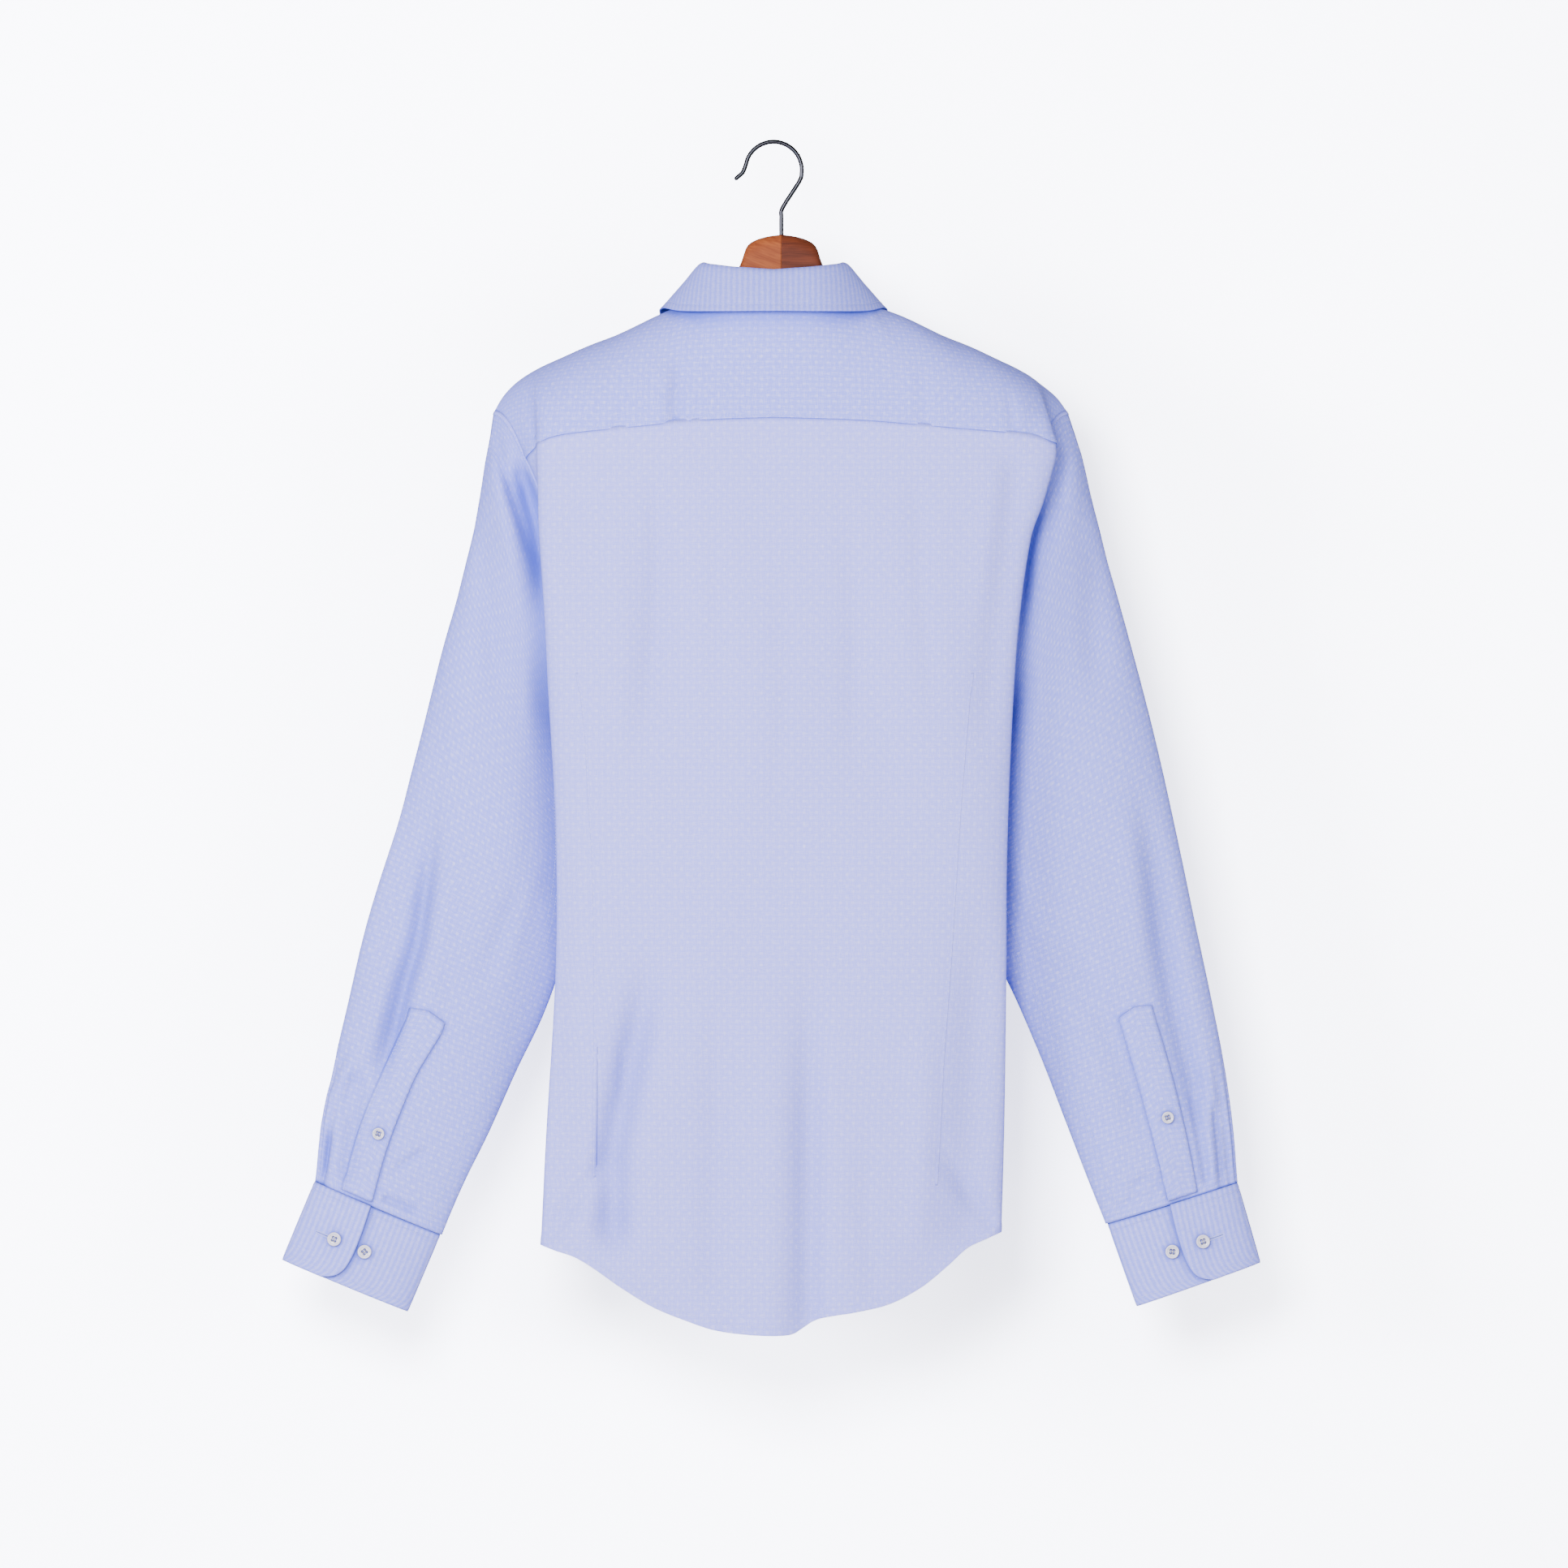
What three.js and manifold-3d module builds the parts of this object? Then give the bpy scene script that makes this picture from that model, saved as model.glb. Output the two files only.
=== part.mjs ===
import * as THREE from 'three';
import Module from 'manifold-3d';

// A long sleeve dress shirt on a wooden hanger. Millimetres. The origin is where a rail touches the
// underside of the hook's arc. +X is the wearer's left, +Y the wearer's back and +Z is up.
const CLOTH_WALL = 1.4;
const COLLAR_WALL = 1.6;
const CUFF_WALL = 1.6;
const TRIM_WALL = 1.0;
const SEAM_INSET = 0.25;
const LAYER_GAP = 0.35;
const LAP_WIDTH = 17.5;
const LAP_SHIFT = 1.1;
const ARMPIT_Z = -420;
const ARMPIT_X = 146;
const ARMHOLE_TOP_Z = -205;
const ARMHOLE_MID_Y = -12;
const ARMHOLE_HALF_DEPTH = 34;
const BACK_SCOOP = 19;
const FRONT_SCOOP = 26;
const BACK_CORNER_TURN = 48;
const FRONT_CORNER_TURN = 45;
const SIDE_SEAM_Y = -12;
const SIDE_HEM_Z = -812;
const FLAT_BACK = 2.4;
const INNER_SLIMMING = 0.5;
const CUFF_DEPTH = 24;
const CUFF_MID_Y = -14;
const CUFF_SPIRAL = 2.5;
const BUTTON_THICKNESS = 2.4;
const WIRE_RADIUS = 1.5;
const HOOK_RADIUS = 21.6;
const STEM_X = -6;
const WOOD_TOP_Z = -71;

// Grid counts. A column runs up a panel and a row runs across it.
const FOLD_COLUMN = 9;
const END_COLUMN = 13;
const NECK_COLUMN = 4;
const LOW_ROWS = 13;
const ARM_ROWS = 7;
const TOP_ROW = LOW_ROWS + ARM_ROWS;
const YOKE_ROWS = 4;
const FLAP_ROWS = 3;
const SLEEVE_ROWS = 18;
const SLEEVE_STEPS = 11;

const CLOTH = { color: 0xbcc4ea, roughness: 0.85, metalness: 0 };
const PEARL = { color: 0xeeeef2, roughness: 0.25, metalness: 0 };
const WOOD = { color: 0x9c5a3c, roughness: 0.5, metalness: 0 };
const CHROME = { color: 0xc8c8cc, roughness: 0.15, metalness: 1 };

const mix = THREE.MathUtils.lerp;
const clamp = THREE.MathUtils.clamp;
const radians = THREE.MathUtils.degToRad;
const point = (x, y, z) => new THREE.Vector3(x, y, z);

// A table is a list of rows with named columns.
function table(names, rows) {
  return rows.map((row) => Object.fromEntries(names.map((name, i) => [name, row[i]])));
}

// A smooth curve through one column of a table, read at a value of its key column.
function read(rows, key, value, column) {
  const last = rows.length - 1;
  const sign = Math.sign(rows[last][key] - rows[0][key]);
  let i = 0;
  while (i < last - 1 && (value - rows[i + 1][key]) * sign > 0) {
    i += 1;
  }
  const slope = (k) => {
    const before = rows[Math.max(k - 1, 0)];
    const after = rows[Math.min(k + 1, last)];
    return (after[column] - before[column]) / (after[key] - before[key]);
  };
  const low = rows[i];
  const high = rows[i + 1];
  const span = high[key] - low[key];
  const t = clamp((value - low[key]) / span, 0, 1);
  const bend = t * (1 - t) * span;
  return low[column] * (1 - t) ** 2 * (1 + 2 * t) + high[column] * t ** 2 * (3 - 2 * t)
    + bend * ((1 - t) * slope(i) - t * slope(i + 1));
}

// The body from the shoulders to the hem: where each side folds over, seen from the back and the front.
const LEFT_BODY = table(['z', 'fold', 'foldY', 'frontFold', 'frontFoldY'], [
  [-240, 193, 31, 188, -44],
  [-265, 182.5, 34, 180, -51],
  [-290, 178.5, 36, 177, -55],
  [-361, 174, 38, 173, -58],
  [-420, 171, 36, 170, -56],
  [-523, 165.5, 33, 164, -50],
  [-628, 165.5, 31, 163, -46],
  [-758, 173, 27, 170, -43],
  [-840, 177, 25, 174, -41],
]);
const RIGHT_BODY = table(['z', 'fold', 'foldY', 'frontFold', 'frontFoldY'], [
  [-240, 215, 31, 206, -44],
  [-275, 205, 34, 197, -53],
  [-300, 196, 36, 189, -58],
  [-361, 187, 38, 182, -61],
  [-428, 182, 36, 178, -58],
  [-542, 177.5, 33, 174, -50],
  [-629, 177, 31, 173, -46],
  [-750, 175.5, 27, 172, -43],
  [-840, 173, 25, 171, -41],
]);
// How far back and forward the middle of the body stands.
const MIDDLE = table(['z', 'back', 'front'], [
  [-200, 51, -65],
  [-260, 56, -74],
  [-340, 60, -82],
  [-430, 61, -83],
  [-520, 57, -77],
  [-620, 53, -70],
  [-720, 50, -66],
  [-820, 49, -64],
  [-910, 51, -64],
]);
// Side seam, drawn in behind the folds so that the sleeve hangs in the hollow.
const SIDE_SEAM = table(['z', 'x'], [
  [-420, ARMPIT_X],
  [-432, 134],
  [-448, 126],
  [-470, 121],
  [-500, 119],
  [-560, 121],
  [-620, 130],
  [-680, 138],
  [-750, 143],
  [SIDE_HEM_Z, 146],
]);
// Hem of the back on each side, and of the front.
const HEM = table(['x', 'left', 'right', 'front'], [
  [0, -908, -908, -886],
  [30, -906, -899, -885],
  [60, -899, -891, -880],
  [90, -887, -884, -868],
  [115, -872, -871, -853],
  [135, -858, -855, -840],
  [150, -849, -842, -832],
  [165, -844, -835, -826],
  [178, -839, -829, -823],
]);
// Height of the yoke seam across the back, by the share of the way out to the fold.
const YOKE_SEAM = table(['out', 'z'], [
  [0, -209.5],
  [0.25, -211.5],
  [0.5, -216.5],
  [0.7, -220],
  [0.87, -223.5],
  [1, -229],
]);
// Neckline, collar stand and collar leaf, from the back to the front: base is the seam on the shirt,
// top is the upper edge of the stand and edge is the outer edge of the leaf.
const COLLAR_COLUMNS = ['step', 'baseX', 'baseY', 'baseZ', 'topX', 'topY', 'topZ', 'edgeX', 'edgeY', 'edgeZ'];
const COLLAR = table(COLLAR_COLUMNS, [
  [0, 0, 47, -121, 0, 30, -100.5, 0, 56, -130],
  [1, 33, 42, -120.5, 28, 27, -98.5, 42, 50, -130],
  [2, 55, 24, -120, 47, 15, -96, 71, 31, -129],
  [3, 62, 2, -121, 53, -1, -95, 85, 5, -126],
  [4, 58, -25, -139, 50.5, -21, -106, 86, -23, -133],
  [5, 46, -42, -160, 39, -38, -129, 79, -48, -160],
  [6, 23, -55, -180, 19, -50, -149, 67, -65, -193],
  [7, 0, -59, -187, 0, -54, -156, 53, -76, -216],
  [8, -LAP_WIDTH, -56.2, -182, -LAP_WIDTH, -50.6, -150, 45, -78, -222],
]);
const NECK_POINT_STEP = 3;
const FRONT_SEAM_STEP = 4;
const FRONT_STEP = 7;
const LAP_STEP = 8;
const LEAF_END_STEP = 6.85;
// Shoulder line on each side, from the neck to the tip.
const RIDGE = table(['left', 'right', 'y', 'z'], [
  [62, 62, 2, -121],
  [84, 90, 1, -130],
  [116, 122, -2, -145],
  [140, 145, -4, -154],
  [161, 165, -6, -163],
  [181, 185, -9, -172],
  [196.5, 202, -10.5, -182],
  [207, 216, -11.5, -193],
  [214, 225, ARMHOLE_MID_Y, ARMHOLE_TOP_Z],
]);
// Front yoke seam, from the neckline out to the armhole.
const FRONT_YOKE = table(['out', 'x', 'y', 'z'], [
  [0, 58, -25, -139],
  [0.28, 112, -37, -168],
  [0.55, 166, -43, -199],
  [0.8, 185, -41, -220],
  [1, 188, -36, -236],
]);
// Sleeve outlines: outer edge, inner edge, depth and middle, from the armhole to the cuff.
const SLEEVE_COLUMNS = ['step', 'outerX', 'outerZ', 'innerX', 'innerZ', 'depth', 'midY'];
const LEFT_SLEEVE = table(SLEEVE_COLUMNS, [
  [0, 214, -205, ARMPIT_X, -420, 68, -12],
  [1, 218.5, -235, 171, -428, 62, -12],
  [2, 226.7, -280, 172, -447, 57, -13],
  [3, 241.5, -345, 161, -479, 54, -14],
  [4, 258.5, -410, 155, -516, 53, -15],
  [5, 276, -475, 152, -560, 51, -15],
  [6, 295.5, -540, 159, -611, 49, -15],
  [7, 312.5, -600, 175, -662, 45, -15],
  [8, 325, -655, 197, -709, 40, -15],
  [9, 336.5, -705, 217, -753, 35, -14],
  [10, 346, -750, 237, -794, 30, -14],
  [11, 351, -793, 254, -834, 26, -14],
]);
const RIGHT_SLEEVE = table(SLEEVE_COLUMNS, [
  [0, 225, -205, ARMPIT_X, -420, 68, -12],
  [1, 234.5, -235, 171, -428, 62, -12],
  [2, 245.5, -280, 172, -447, 57, -13],
  [3, 263.5, -345, 162, -479, 54, -14],
  [4, 281, -410, 157, -514, 53, -15],
  [5, 297, -475, 155, -557, 51, -15],
  [6, 311.5, -540, 164, -607, 49, -15],
  [7, 323.5, -600, 187, -657, 45, -15],
  [8, 335, -655, 207, -703, 40, -15],
  [9, 345, -705, 223.5, -746, 35, -14],
  [10, 351.5, -750, 239, -787, 30, -14],
  [11, 355, -794, 254.5, -825.5, 26, -14],
]);
// Largest soft folds of the back, as lines with a width and a depth. A negative depth is a ridge.
const BACK_FOLDS = table(['x0', 'z0', 'x1', 'z1', 'width', 'depth'], [
  [-26, -670, -31, -905, 15, 7],
  [3, -650, 5, -908, 17, -4],
  [104, -690, 112, -860, 16, 4],
  [-186, -238, -164, -420, 12, 5],
  [150, -300, 148, -420, 12, 3],
]);
const SIDES = {
  left: {
    sign: 1, name: 'left', ridge: 'left', tipX: 214, lap: -LAP_SHIFT,
    body: LEFT_BODY, sleeve: LEFT_SLEEVE,
  },
  right: {
    sign: -1, name: 'right', ridge: 'right', tipX: 225, lap: LAP_SHIFT,
    body: RIGHT_BODY, sleeve: RIGHT_SLEEVE,
  },
};

// Armhole loop: turn 0 is the shoulder tip, 180 the armpit, positive on the back and negative in front.
function armholePoint(side, turn) {
  const along = (1 + Math.cos(radians(turn))) / 2;
  const bulge = Math.abs(Math.sin(radians(turn)));
  const scoop = turn > 0 ? BACK_SCOOP : FRONT_SCOOP;
  const x = mix(ARMPIT_X, side.tipX, along) - scoop * bulge;
  const y = ARMHOLE_MID_Y + Math.sign(turn) * ARMHOLE_HALF_DEPTH * bulge;
  return point(x, y, mix(ARMPIT_Z, ARMHOLE_TOP_Z, along));
}

// Where a panel's column lies in a level section: out to the fold, then in along the gusset to the seam.
function sectionPoint(middleY, fold, foldY, seamX, seamY, column) {
  if (column <= 0) {
    return [column * LAP_WIDTH, middleY];
  }
  if (column <= FOLD_COLUMN) {
    const share = column / FOLD_COLUMN;
    const across = 0.5 * share + 0.5 * Math.sin(share * Math.PI / 2);
    const bow = Math.max(1 - across ** FLAT_BACK, 0) ** (1 / FLAT_BACK);
    return [fold * across, foldY + (middleY - foldY) * bow];
  }
  const k = (column - FOLD_COLUMN) / (END_COLUMN - FOLD_COLUMN);
  const drop = foldY - seamY;
  const ends = (1 - k) ** 2 * (1 + 2 * k);
  const lead = 3 * k * (1 - k) ** 2 * 0.3 * drop;
  const tail = 3 * k ** 2 * (1 - k) * 0.4 * drop;
  return [mix(seamX, fold, ends), mix(seamY, foldY, ends) - lead + tail];
}

// Depth of the soft folds at a place on the back.
function foldDepth(x, z) {
  let depth = 0;
  for (const fold of BACK_FOLDS) {
    const run = clamp((z - fold.z0) / (fold.z1 - fold.z0), 0, 1);
    const away = (x - mix(fold.x0, fold.x1, run)) / fold.width;
    const beyond = Math.max(z - fold.z0, fold.z1 - z, 0) / 30;
    depth += fold.depth * Math.exp(-(away ** 2) - beyond ** 2) * Math.min(1, 0.35 + run);
  }
  return depth;
}

function bodySection(side, z, seam, column, onBack) {
  const middleY = read(MIDDLE, 'z', z, onBack ? 'back' : 'front');
  const fold = read(side.body, 'z', z, onBack ? 'fold' : 'frontFold');
  const foldY = read(side.body, 'z', z, onBack ? 'foldY' : 'frontFoldY');
  const [x, y] = sectionPoint(middleY, fold, foldY, seam.x, seam.y, column);
  const pressed = onBack && column < FOLD_COLUMN ? foldDepth(side.sign * x, z) : 0;
  return [x, y - pressed];
}

function hemZ(side, column, onBack) {
  const share = clamp(column, 0, FOLD_COLUMN) / FOLD_COLUMN;
  const x = 176 * (0.5 * share + 0.5 * Math.sin(share * Math.PI / 2));
  const z = read(HEM, 'x', x, onBack ? side.name : 'front');
  const k = Math.max(column - FOLD_COLUMN, 0) / (END_COLUMN - FOLD_COLUMN);
  return mix(z, SIDE_HEM_Z, k);
}

// The seam edge of a panel at a row above the armpit, and how far up the armhole it is.
function armholeRow(side, row, cornerTurn) {
  const share = (row - LOW_ROWS) / ARM_ROWS;
  const turn = mix(180, Math.abs(cornerTurn), share) * Math.sign(cornerTurn);
  const edge = armholePoint(side, turn);
  const corner = armholePoint(side, cornerTurn);
  return { edge, rise: (edge.z - ARMPIT_Z) / (corner.z - ARMPIT_Z) };
}

function yokeSeamZ(side, column) {
  const share = clamp(column, 0, FOLD_COLUMN) / FOLD_COLUMN;
  const z = read(YOKE_SEAM, 'out', share, 'z');
  const k = Math.max(column - FOLD_COLUMN, 0) / (END_COLUMN - FOLD_COLUMN);
  return mix(z, armholePoint(side, BACK_CORNER_TURN).z, k);
}

function backPoint(side, column, row) {
  if (row <= LOW_ROWS) {
    const z = mix(hemZ(side, column, true), ARMPIT_Z, row / LOW_ROWS);
    const seam = { x: read(SIDE_SEAM, 'z', z, 'x'), y: SIDE_SEAM_Y };
    const [x, y] = bodySection(side, z, seam, column, true);
    return point(x, y, z);
  }
  const { edge, rise } = armholeRow(side, row, BACK_CORNER_TURN);
  const z = mix(ARMPIT_Z, yokeSeamZ(side, column), rise);
  const [x, y] = bodySection(side, z, edge, column, true);
  return point(x, y, z);
}

function collarPoint(step, part) {
  return point(
    read(COLLAR, 'step', step, `${part}X`),
    read(COLLAR, 'step', step, `${part}Y`),
    read(COLLAR, 'step', step, `${part}Z`),
  );
}

// The left edge lies over the right one where the fronts meet.
function lapped(side, place) {
  const near = 1 - THREE.MathUtils.smoothstep(place.x, 20, 50);
  const front = place.y < -40 ? 1 : 0;
  return place.setY(place.y + side.lap * near * front);
}

// Upper edge of the yoke: the neckline, then the shoulder line out to the tip.
function yokeTop(side, column) {
  if (column <= NECK_COLUMN) {
    return collarPoint(NECK_POINT_STEP * column / NECK_COLUMN, 'base');
  }
  const knee = 0.8;
  const share = column <= FOLD_COLUMN
    ? knee * (column - NECK_COLUMN) / (FOLD_COLUMN - NECK_COLUMN)
    : mix(knee, 1, (column - FOLD_COLUMN) / (END_COLUMN - FOLD_COLUMN));
  const x = mix(RIDGE[0][side.ridge], side.tipX, share);
  return point(x, read(RIDGE, side.ridge, x, 'y'), read(RIDGE, side.ridge, x, 'z'));
}

function yokePoint(side, column, rise) {
  const low = backPoint(side, column, TOP_ROW);
  const top = yokeTop(side, column);
  const arch = clamp(column / NECK_COLUMN, 0, 1);
  const turn = rise * Math.PI / 2;
  const inward = mix(rise, 1 - Math.cos(turn), arch);
  const upward = mix(rise, Math.sin(turn), arch);
  return point(mix(low.x, top.x, rise), mix(low.y, top.y, inward), mix(low.z, top.z, upward));
}

function frontSeam(side, column) {
  const out = (column - NECK_COLUMN) / (END_COLUMN - NECK_COLUMN);
  const corner = armholePoint(side, -FRONT_CORNER_TURN);
  const shape = (name) => read(FRONT_YOKE, 'out', out, name);
  const end = FRONT_YOKE[FRONT_YOKE.length - 1];
  const weight = out ** 2;
  return point(
    shape('x') + weight * (corner.x - end.x),
    shape('y') + weight * (corner.y - end.y),
    shape('z') + weight * (corner.z - end.z),
  );
}

function flapPoint(side, column, drop) {
  const top = yokeTop(side, column);
  const low = frontSeam(side, column);
  const full = radians(65);
  const forward = Math.sin(drop * full) / Math.sin(full);
  const downward = (1 - Math.cos(drop * full)) / (1 - Math.cos(full));
  return point(mix(top.x, low.x, drop), mix(top.y, low.y, forward), mix(top.z, low.z, downward));
}

function neckline(side, step) {
  if (step > NECK_POINT_STEP && step < FRONT_SEAM_STEP) {
    return flapPoint(side, NECK_COLUMN, step - NECK_POINT_STEP);
  }
  return collarPoint(step, 'base');
}

function frontTop(side, column) {
  if (column >= NECK_COLUMN) {
    return frontSeam(side, column);
  }
  const span = (FRONT_STEP - FRONT_SEAM_STEP) / NECK_COLUMN;
  const step = column < 0 ? mix(FRONT_STEP, LAP_STEP, -column) : FRONT_STEP - span * column;
  return neckline(side, step);
}

function frontPoint(side, column, row) {
  if (row <= LOW_ROWS) {
    const z = mix(hemZ(side, column, false), ARMPIT_Z, row / LOW_ROWS);
    const seam = { x: read(SIDE_SEAM, 'z', z, 'x'), y: SIDE_SEAM_Y };
    const [x, y] = bodySection(side, z, seam, column, false);
    return lapped(side, point(x, y, z));
  }
  const { edge, rise } = armholeRow(side, row, -FRONT_CORNER_TURN);
  const top = frontTop(side, column);
  const z = mix(ARMPIT_Z, top.z, rise);
  const [x, y] = bodySection(side, z, edge, column, false);
  const turnIn = rise ** 3;
  return lapped(side, point(mix(x, top.x, turnIn), mix(y, top.y, turnIn), z));
}

// The sleeve's first ring is the armhole, taken from the edges of the panels it is sewn to.
function armholeRing(side) {
  const ring = [];
  for (let i = 0; i < ARM_ROWS; i += 1) {
    ring.push(backPoint(side, END_COLUMN, LOW_ROWS + i));
  }
  for (let i = 0; i < YOKE_ROWS; i += 1) {
    ring.push(yokePoint(side, END_COLUMN, i / YOKE_ROWS));
  }
  const tip = ring.length;
  for (let i = 0; i < FLAP_ROWS; i += 1) {
    ring.push(flapPoint(side, END_COLUMN, i / FLAP_ROWS));
  }
  for (let i = ARM_ROWS; i > 0; i -= 1) {
    ring.push(frontPoint(side, END_COLUMN, LOW_ROWS + i));
  }
  return { ring, tip };
}

// Angle round the sleeve of each point of the armhole, by length: 180 at the armpit, 0 at the tip.
function ringTurns({ ring, tip }) {
  const lengths = [0];
  for (let i = 1; i <= ring.length; i += 1) {
    lengths.push(lengths[i - 1] + ring[i % ring.length].distanceTo(ring[i - 1]));
  }
  const total = lengths[ring.length];
  return ring.map((_, i) => (i <= tip
    ? 180 * (1 - lengths[i] / lengths[tip])
    : -180 * (lengths[i] - lengths[tip]) / (total - lengths[tip])));
}

// A flattened ring between two edges. It is slimmer towards its inner edge, as a hanging sleeve is.
function ovalPoint(outer, inner, depth, midY, turn, slimming = 0) {
  const across = (1 + Math.cos(radians(turn))) / 2;
  const slim = 1 - slimming * (1 - THREE.MathUtils.smoothstep(across, 0, 0.4));
  const y = midY + (depth / 2) * slim * Math.sin(radians(turn));
  return point(mix(inner.x, outer.x, across), y, mix(inner.z, outer.z, across));
}

function sleeveOval(side, step, turn) {
  const shape = (name) => read(side.sleeve, 'step', step, name);
  const outer = { x: shape('outerX'), z: shape('outerZ') };
  const inner = { x: shape('innerX'), z: shape('innerZ') };
  const slimming = INNER_SLIMMING * THREE.MathUtils.smoothstep(step, 0.8, 3) * (1 - step / SLEEVE_STEPS);
  return ovalPoint(outer, inner, shape('depth'), shape('midY'), turn, slimming);
}

// Two pleats run up from the cuff on the back of the sleeve.
const PLEATS = table(['turn', 'width', 'depth'], [
  [27, 8, 3.2],
  [9, 7, 2.6],
]);
function pleatDepth(step, turn) {
  const held = 0.5 * THREE.MathUtils.smoothstep(step, 10.6, 11);
  const rise = THREE.MathUtils.smoothstep(step, 8.2, 10.6) * (1 - held);
  return PLEATS.reduce((sum, p) => sum + p.depth * rise * Math.exp(-(((turn - p.turn) / p.width) ** 2)), 0);
}

function sleevePoint(side, loop, turns, index, step) {
  const turn = turns[index];
  const oval = sleeveOval(side, step, turn);
  const start = sleeveOval(side, 0, turn);
  const hold = 1 - THREE.MathUtils.smoothstep(step, 0, 2.6);
  const place = oval.addScaledVector(loop.ring[index].clone().sub(start), hold);
  const middle = sleeveOval(side, step, 0).lerp(sleeveOval(side, step, 180), 0.5);
  const inward = middle.sub(place).normalize();
  return place.addScaledVector(inward, pleatDepth(step, turn));
}

// A surface of welded points and triangles, with its normals shared along seams.
const weldKey = (p) => [p.x, p.y, p.z].map((v) => Math.round(v * 200)).join(' ');
class Surface {
  constructor() {
    this.points = [];
    this.faces = [];
    this.welds = new Map();
  }

  add(place) {
    const key = weldKey(place);
    if (!this.welds.has(key)) {
      this.welds.set(key, this.points.length);
      this.points.push(place.clone());
    }
    return this.welds.get(key);
  }

  grid(rows, columns, place, turnedOver) {
    const ids = [];
    for (let r = 0; r <= rows; r += 1) {
      ids.push([]);
      for (let c = 0; c <= columns; c += 1) {
        ids[r].push(this.add(place(r, c)));
      }
    }
    for (let r = 0; r < rows; r += 1) {
      for (let c = 0; c < columns; c += 1) {
        const quad = [ids[r][c], ids[r][c + 1], ids[r + 1][c + 1], ids[r + 1][c]];
        this.face(quad[0], quad[1], quad[2], turnedOver);
        this.face(quad[0], quad[2], quad[3], turnedOver);
      }
    }
    return this;
  }

  face(a, b, c, turnedOver) {
    if (a !== b && b !== c && a !== c) {
      this.faces.push(turnedOver ? [a, c, b] : [a, b, c]);
    }
  }

  normals(shared) {
    for (const face of this.faces) {
      const [a, b, c] = face.map((id) => this.points[id]);
      const normal = b.clone().sub(a).cross(c.clone().sub(a));
      for (const id of face) {
        const key = weldKey(this.points[id]);
        const sum = shared.get(key) ?? point(0, 0, 0);
        shared.set(key, sum.add(normal));
      }
    }
    return shared;
  }

  // Edges used by one face only, each with the way into the surface.
  rim() {
    const edges = new Map();
    for (const face of this.faces) {
      for (let i = 0; i < 3; i += 1) {
        edges.set(`${face[i]} ${face[(i + 1) % 3]}`, face);
      }
    }
    const rim = [];
    for (const [key, face] of edges) {
      const [a, b] = key.split(' ').map(Number);
      if (!edges.has(`${b} ${a}`)) {
        const [p, q, r] = face.map((id) => this.points[id]);
        const normal = q.clone().sub(p).cross(r.clone().sub(p)).normalize();
        const along = this.points[b].clone().sub(this.points[a]).normalize();
        rim.push({ a, b, inward: normal.cross(along) });
      }
    }
    return rim;
  }
}

function meshFrom(name, positions, triangles, finish) {
  const geometry = new THREE.BufferGeometry();
  geometry.setAttribute('position', new THREE.Float32BufferAttribute(positions, 3));
  geometry.setIndex(triangles);
  geometry.computeVertexNormals();
  const mesh = new THREE.Mesh(geometry, new THREE.MeshStandardMaterial(finish));
  mesh.name = name;
  return mesh;
}

// Gives a surface a wall: half outwards and half inwards, drawn back a little from every edge.
function shell(name, surface, wall, shared, finish = CLOTH, lift = 0) {
  const rim = surface.rim();
  const drawn = new Map();
  for (const { a, b, inward } of rim) {
    for (const id of [a, b]) {
      drawn.set(id, (drawn.get(id) ?? point(0, 0, 0)).add(inward));
    }
  }
  const positions = [];
  for (const offset of [lift + wall / 2, lift - wall / 2]) {
    surface.points.forEach((place, id) => {
      const moved = place.clone();
      const inward = drawn.get(id);
      if (inward) {
        moved.addScaledVector(inward, SEAM_INSET * 2 / Math.max(inward.lengthSq(), 1.2));
      }
      const normal = shared.get(weldKey(place)).clone().normalize();
      moved.addScaledVector(normal, offset);
      positions.push(moved.x, moved.y, moved.z);
    });
  }
  const count = surface.points.length;
  const triangles = [];
  for (const [a, b, c] of surface.faces) {
    triangles.push(a, b, c, a + count, c + count, b + count);
  }
  for (const { a, b } of rim) {
    triangles.push(b, a, a + count, b, a + count, b + count);
  }
  return meshFrom(name, positions, triangles, finish);
}

const mirrored = (side, place) => point(side.sign * place.x, place.y, place.z);
const { left, right } = SIDES;
const sideOf = (column) => (column < 0 ? right : left);

// Body panels.
const back = new Surface().grid(TOP_ROW, 2 * END_COLUMN, (r, c) => {
  const column = c - END_COLUMN;
  return mirrored(sideOf(column), backPoint(sideOf(column), Math.abs(column), r));
}, true);
const yoke = new Surface().grid(YOKE_ROWS, 2 * END_COLUMN, (r, c) => {
  const column = c - END_COLUMN;
  return mirrored(sideOf(column), yokePoint(sideOf(column), Math.abs(column), r / YOKE_ROWS));
}, true);
for (const side of [left, right]) {
  yoke.grid(FLAP_ROWS, END_COLUMN - NECK_COLUMN, (r, c) => (
    mirrored(side, flapPoint(side, NECK_COLUMN + c, r / FLAP_ROWS))
  ), side === left);
}
const fronts = [left, right].map((side) => new Surface().grid(TOP_ROW, END_COLUMN + 1, (r, c) => (
  mirrored(side, frontPoint(side, c - 1, r))
), side === right));

// Sleeves, each a closed tube.
const loops = { left: armholeRing(left), right: armholeRing(right) };
const turns = { left: ringTurns(loops.left), right: ringTurns(loops.right) };
const sleeves = [left, right].map((side) => {
  const loop = loops[side.name];
  const round = loop.ring.length;
  return new Surface().grid(SLEEVE_ROWS, round, (r, c) => (
    mirrored(side, sleevePoint(side, loop, turns[side.name], c % round, SLEEVE_STEPS * r / SLEEVE_ROWS))
  ), side === right);
});

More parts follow.
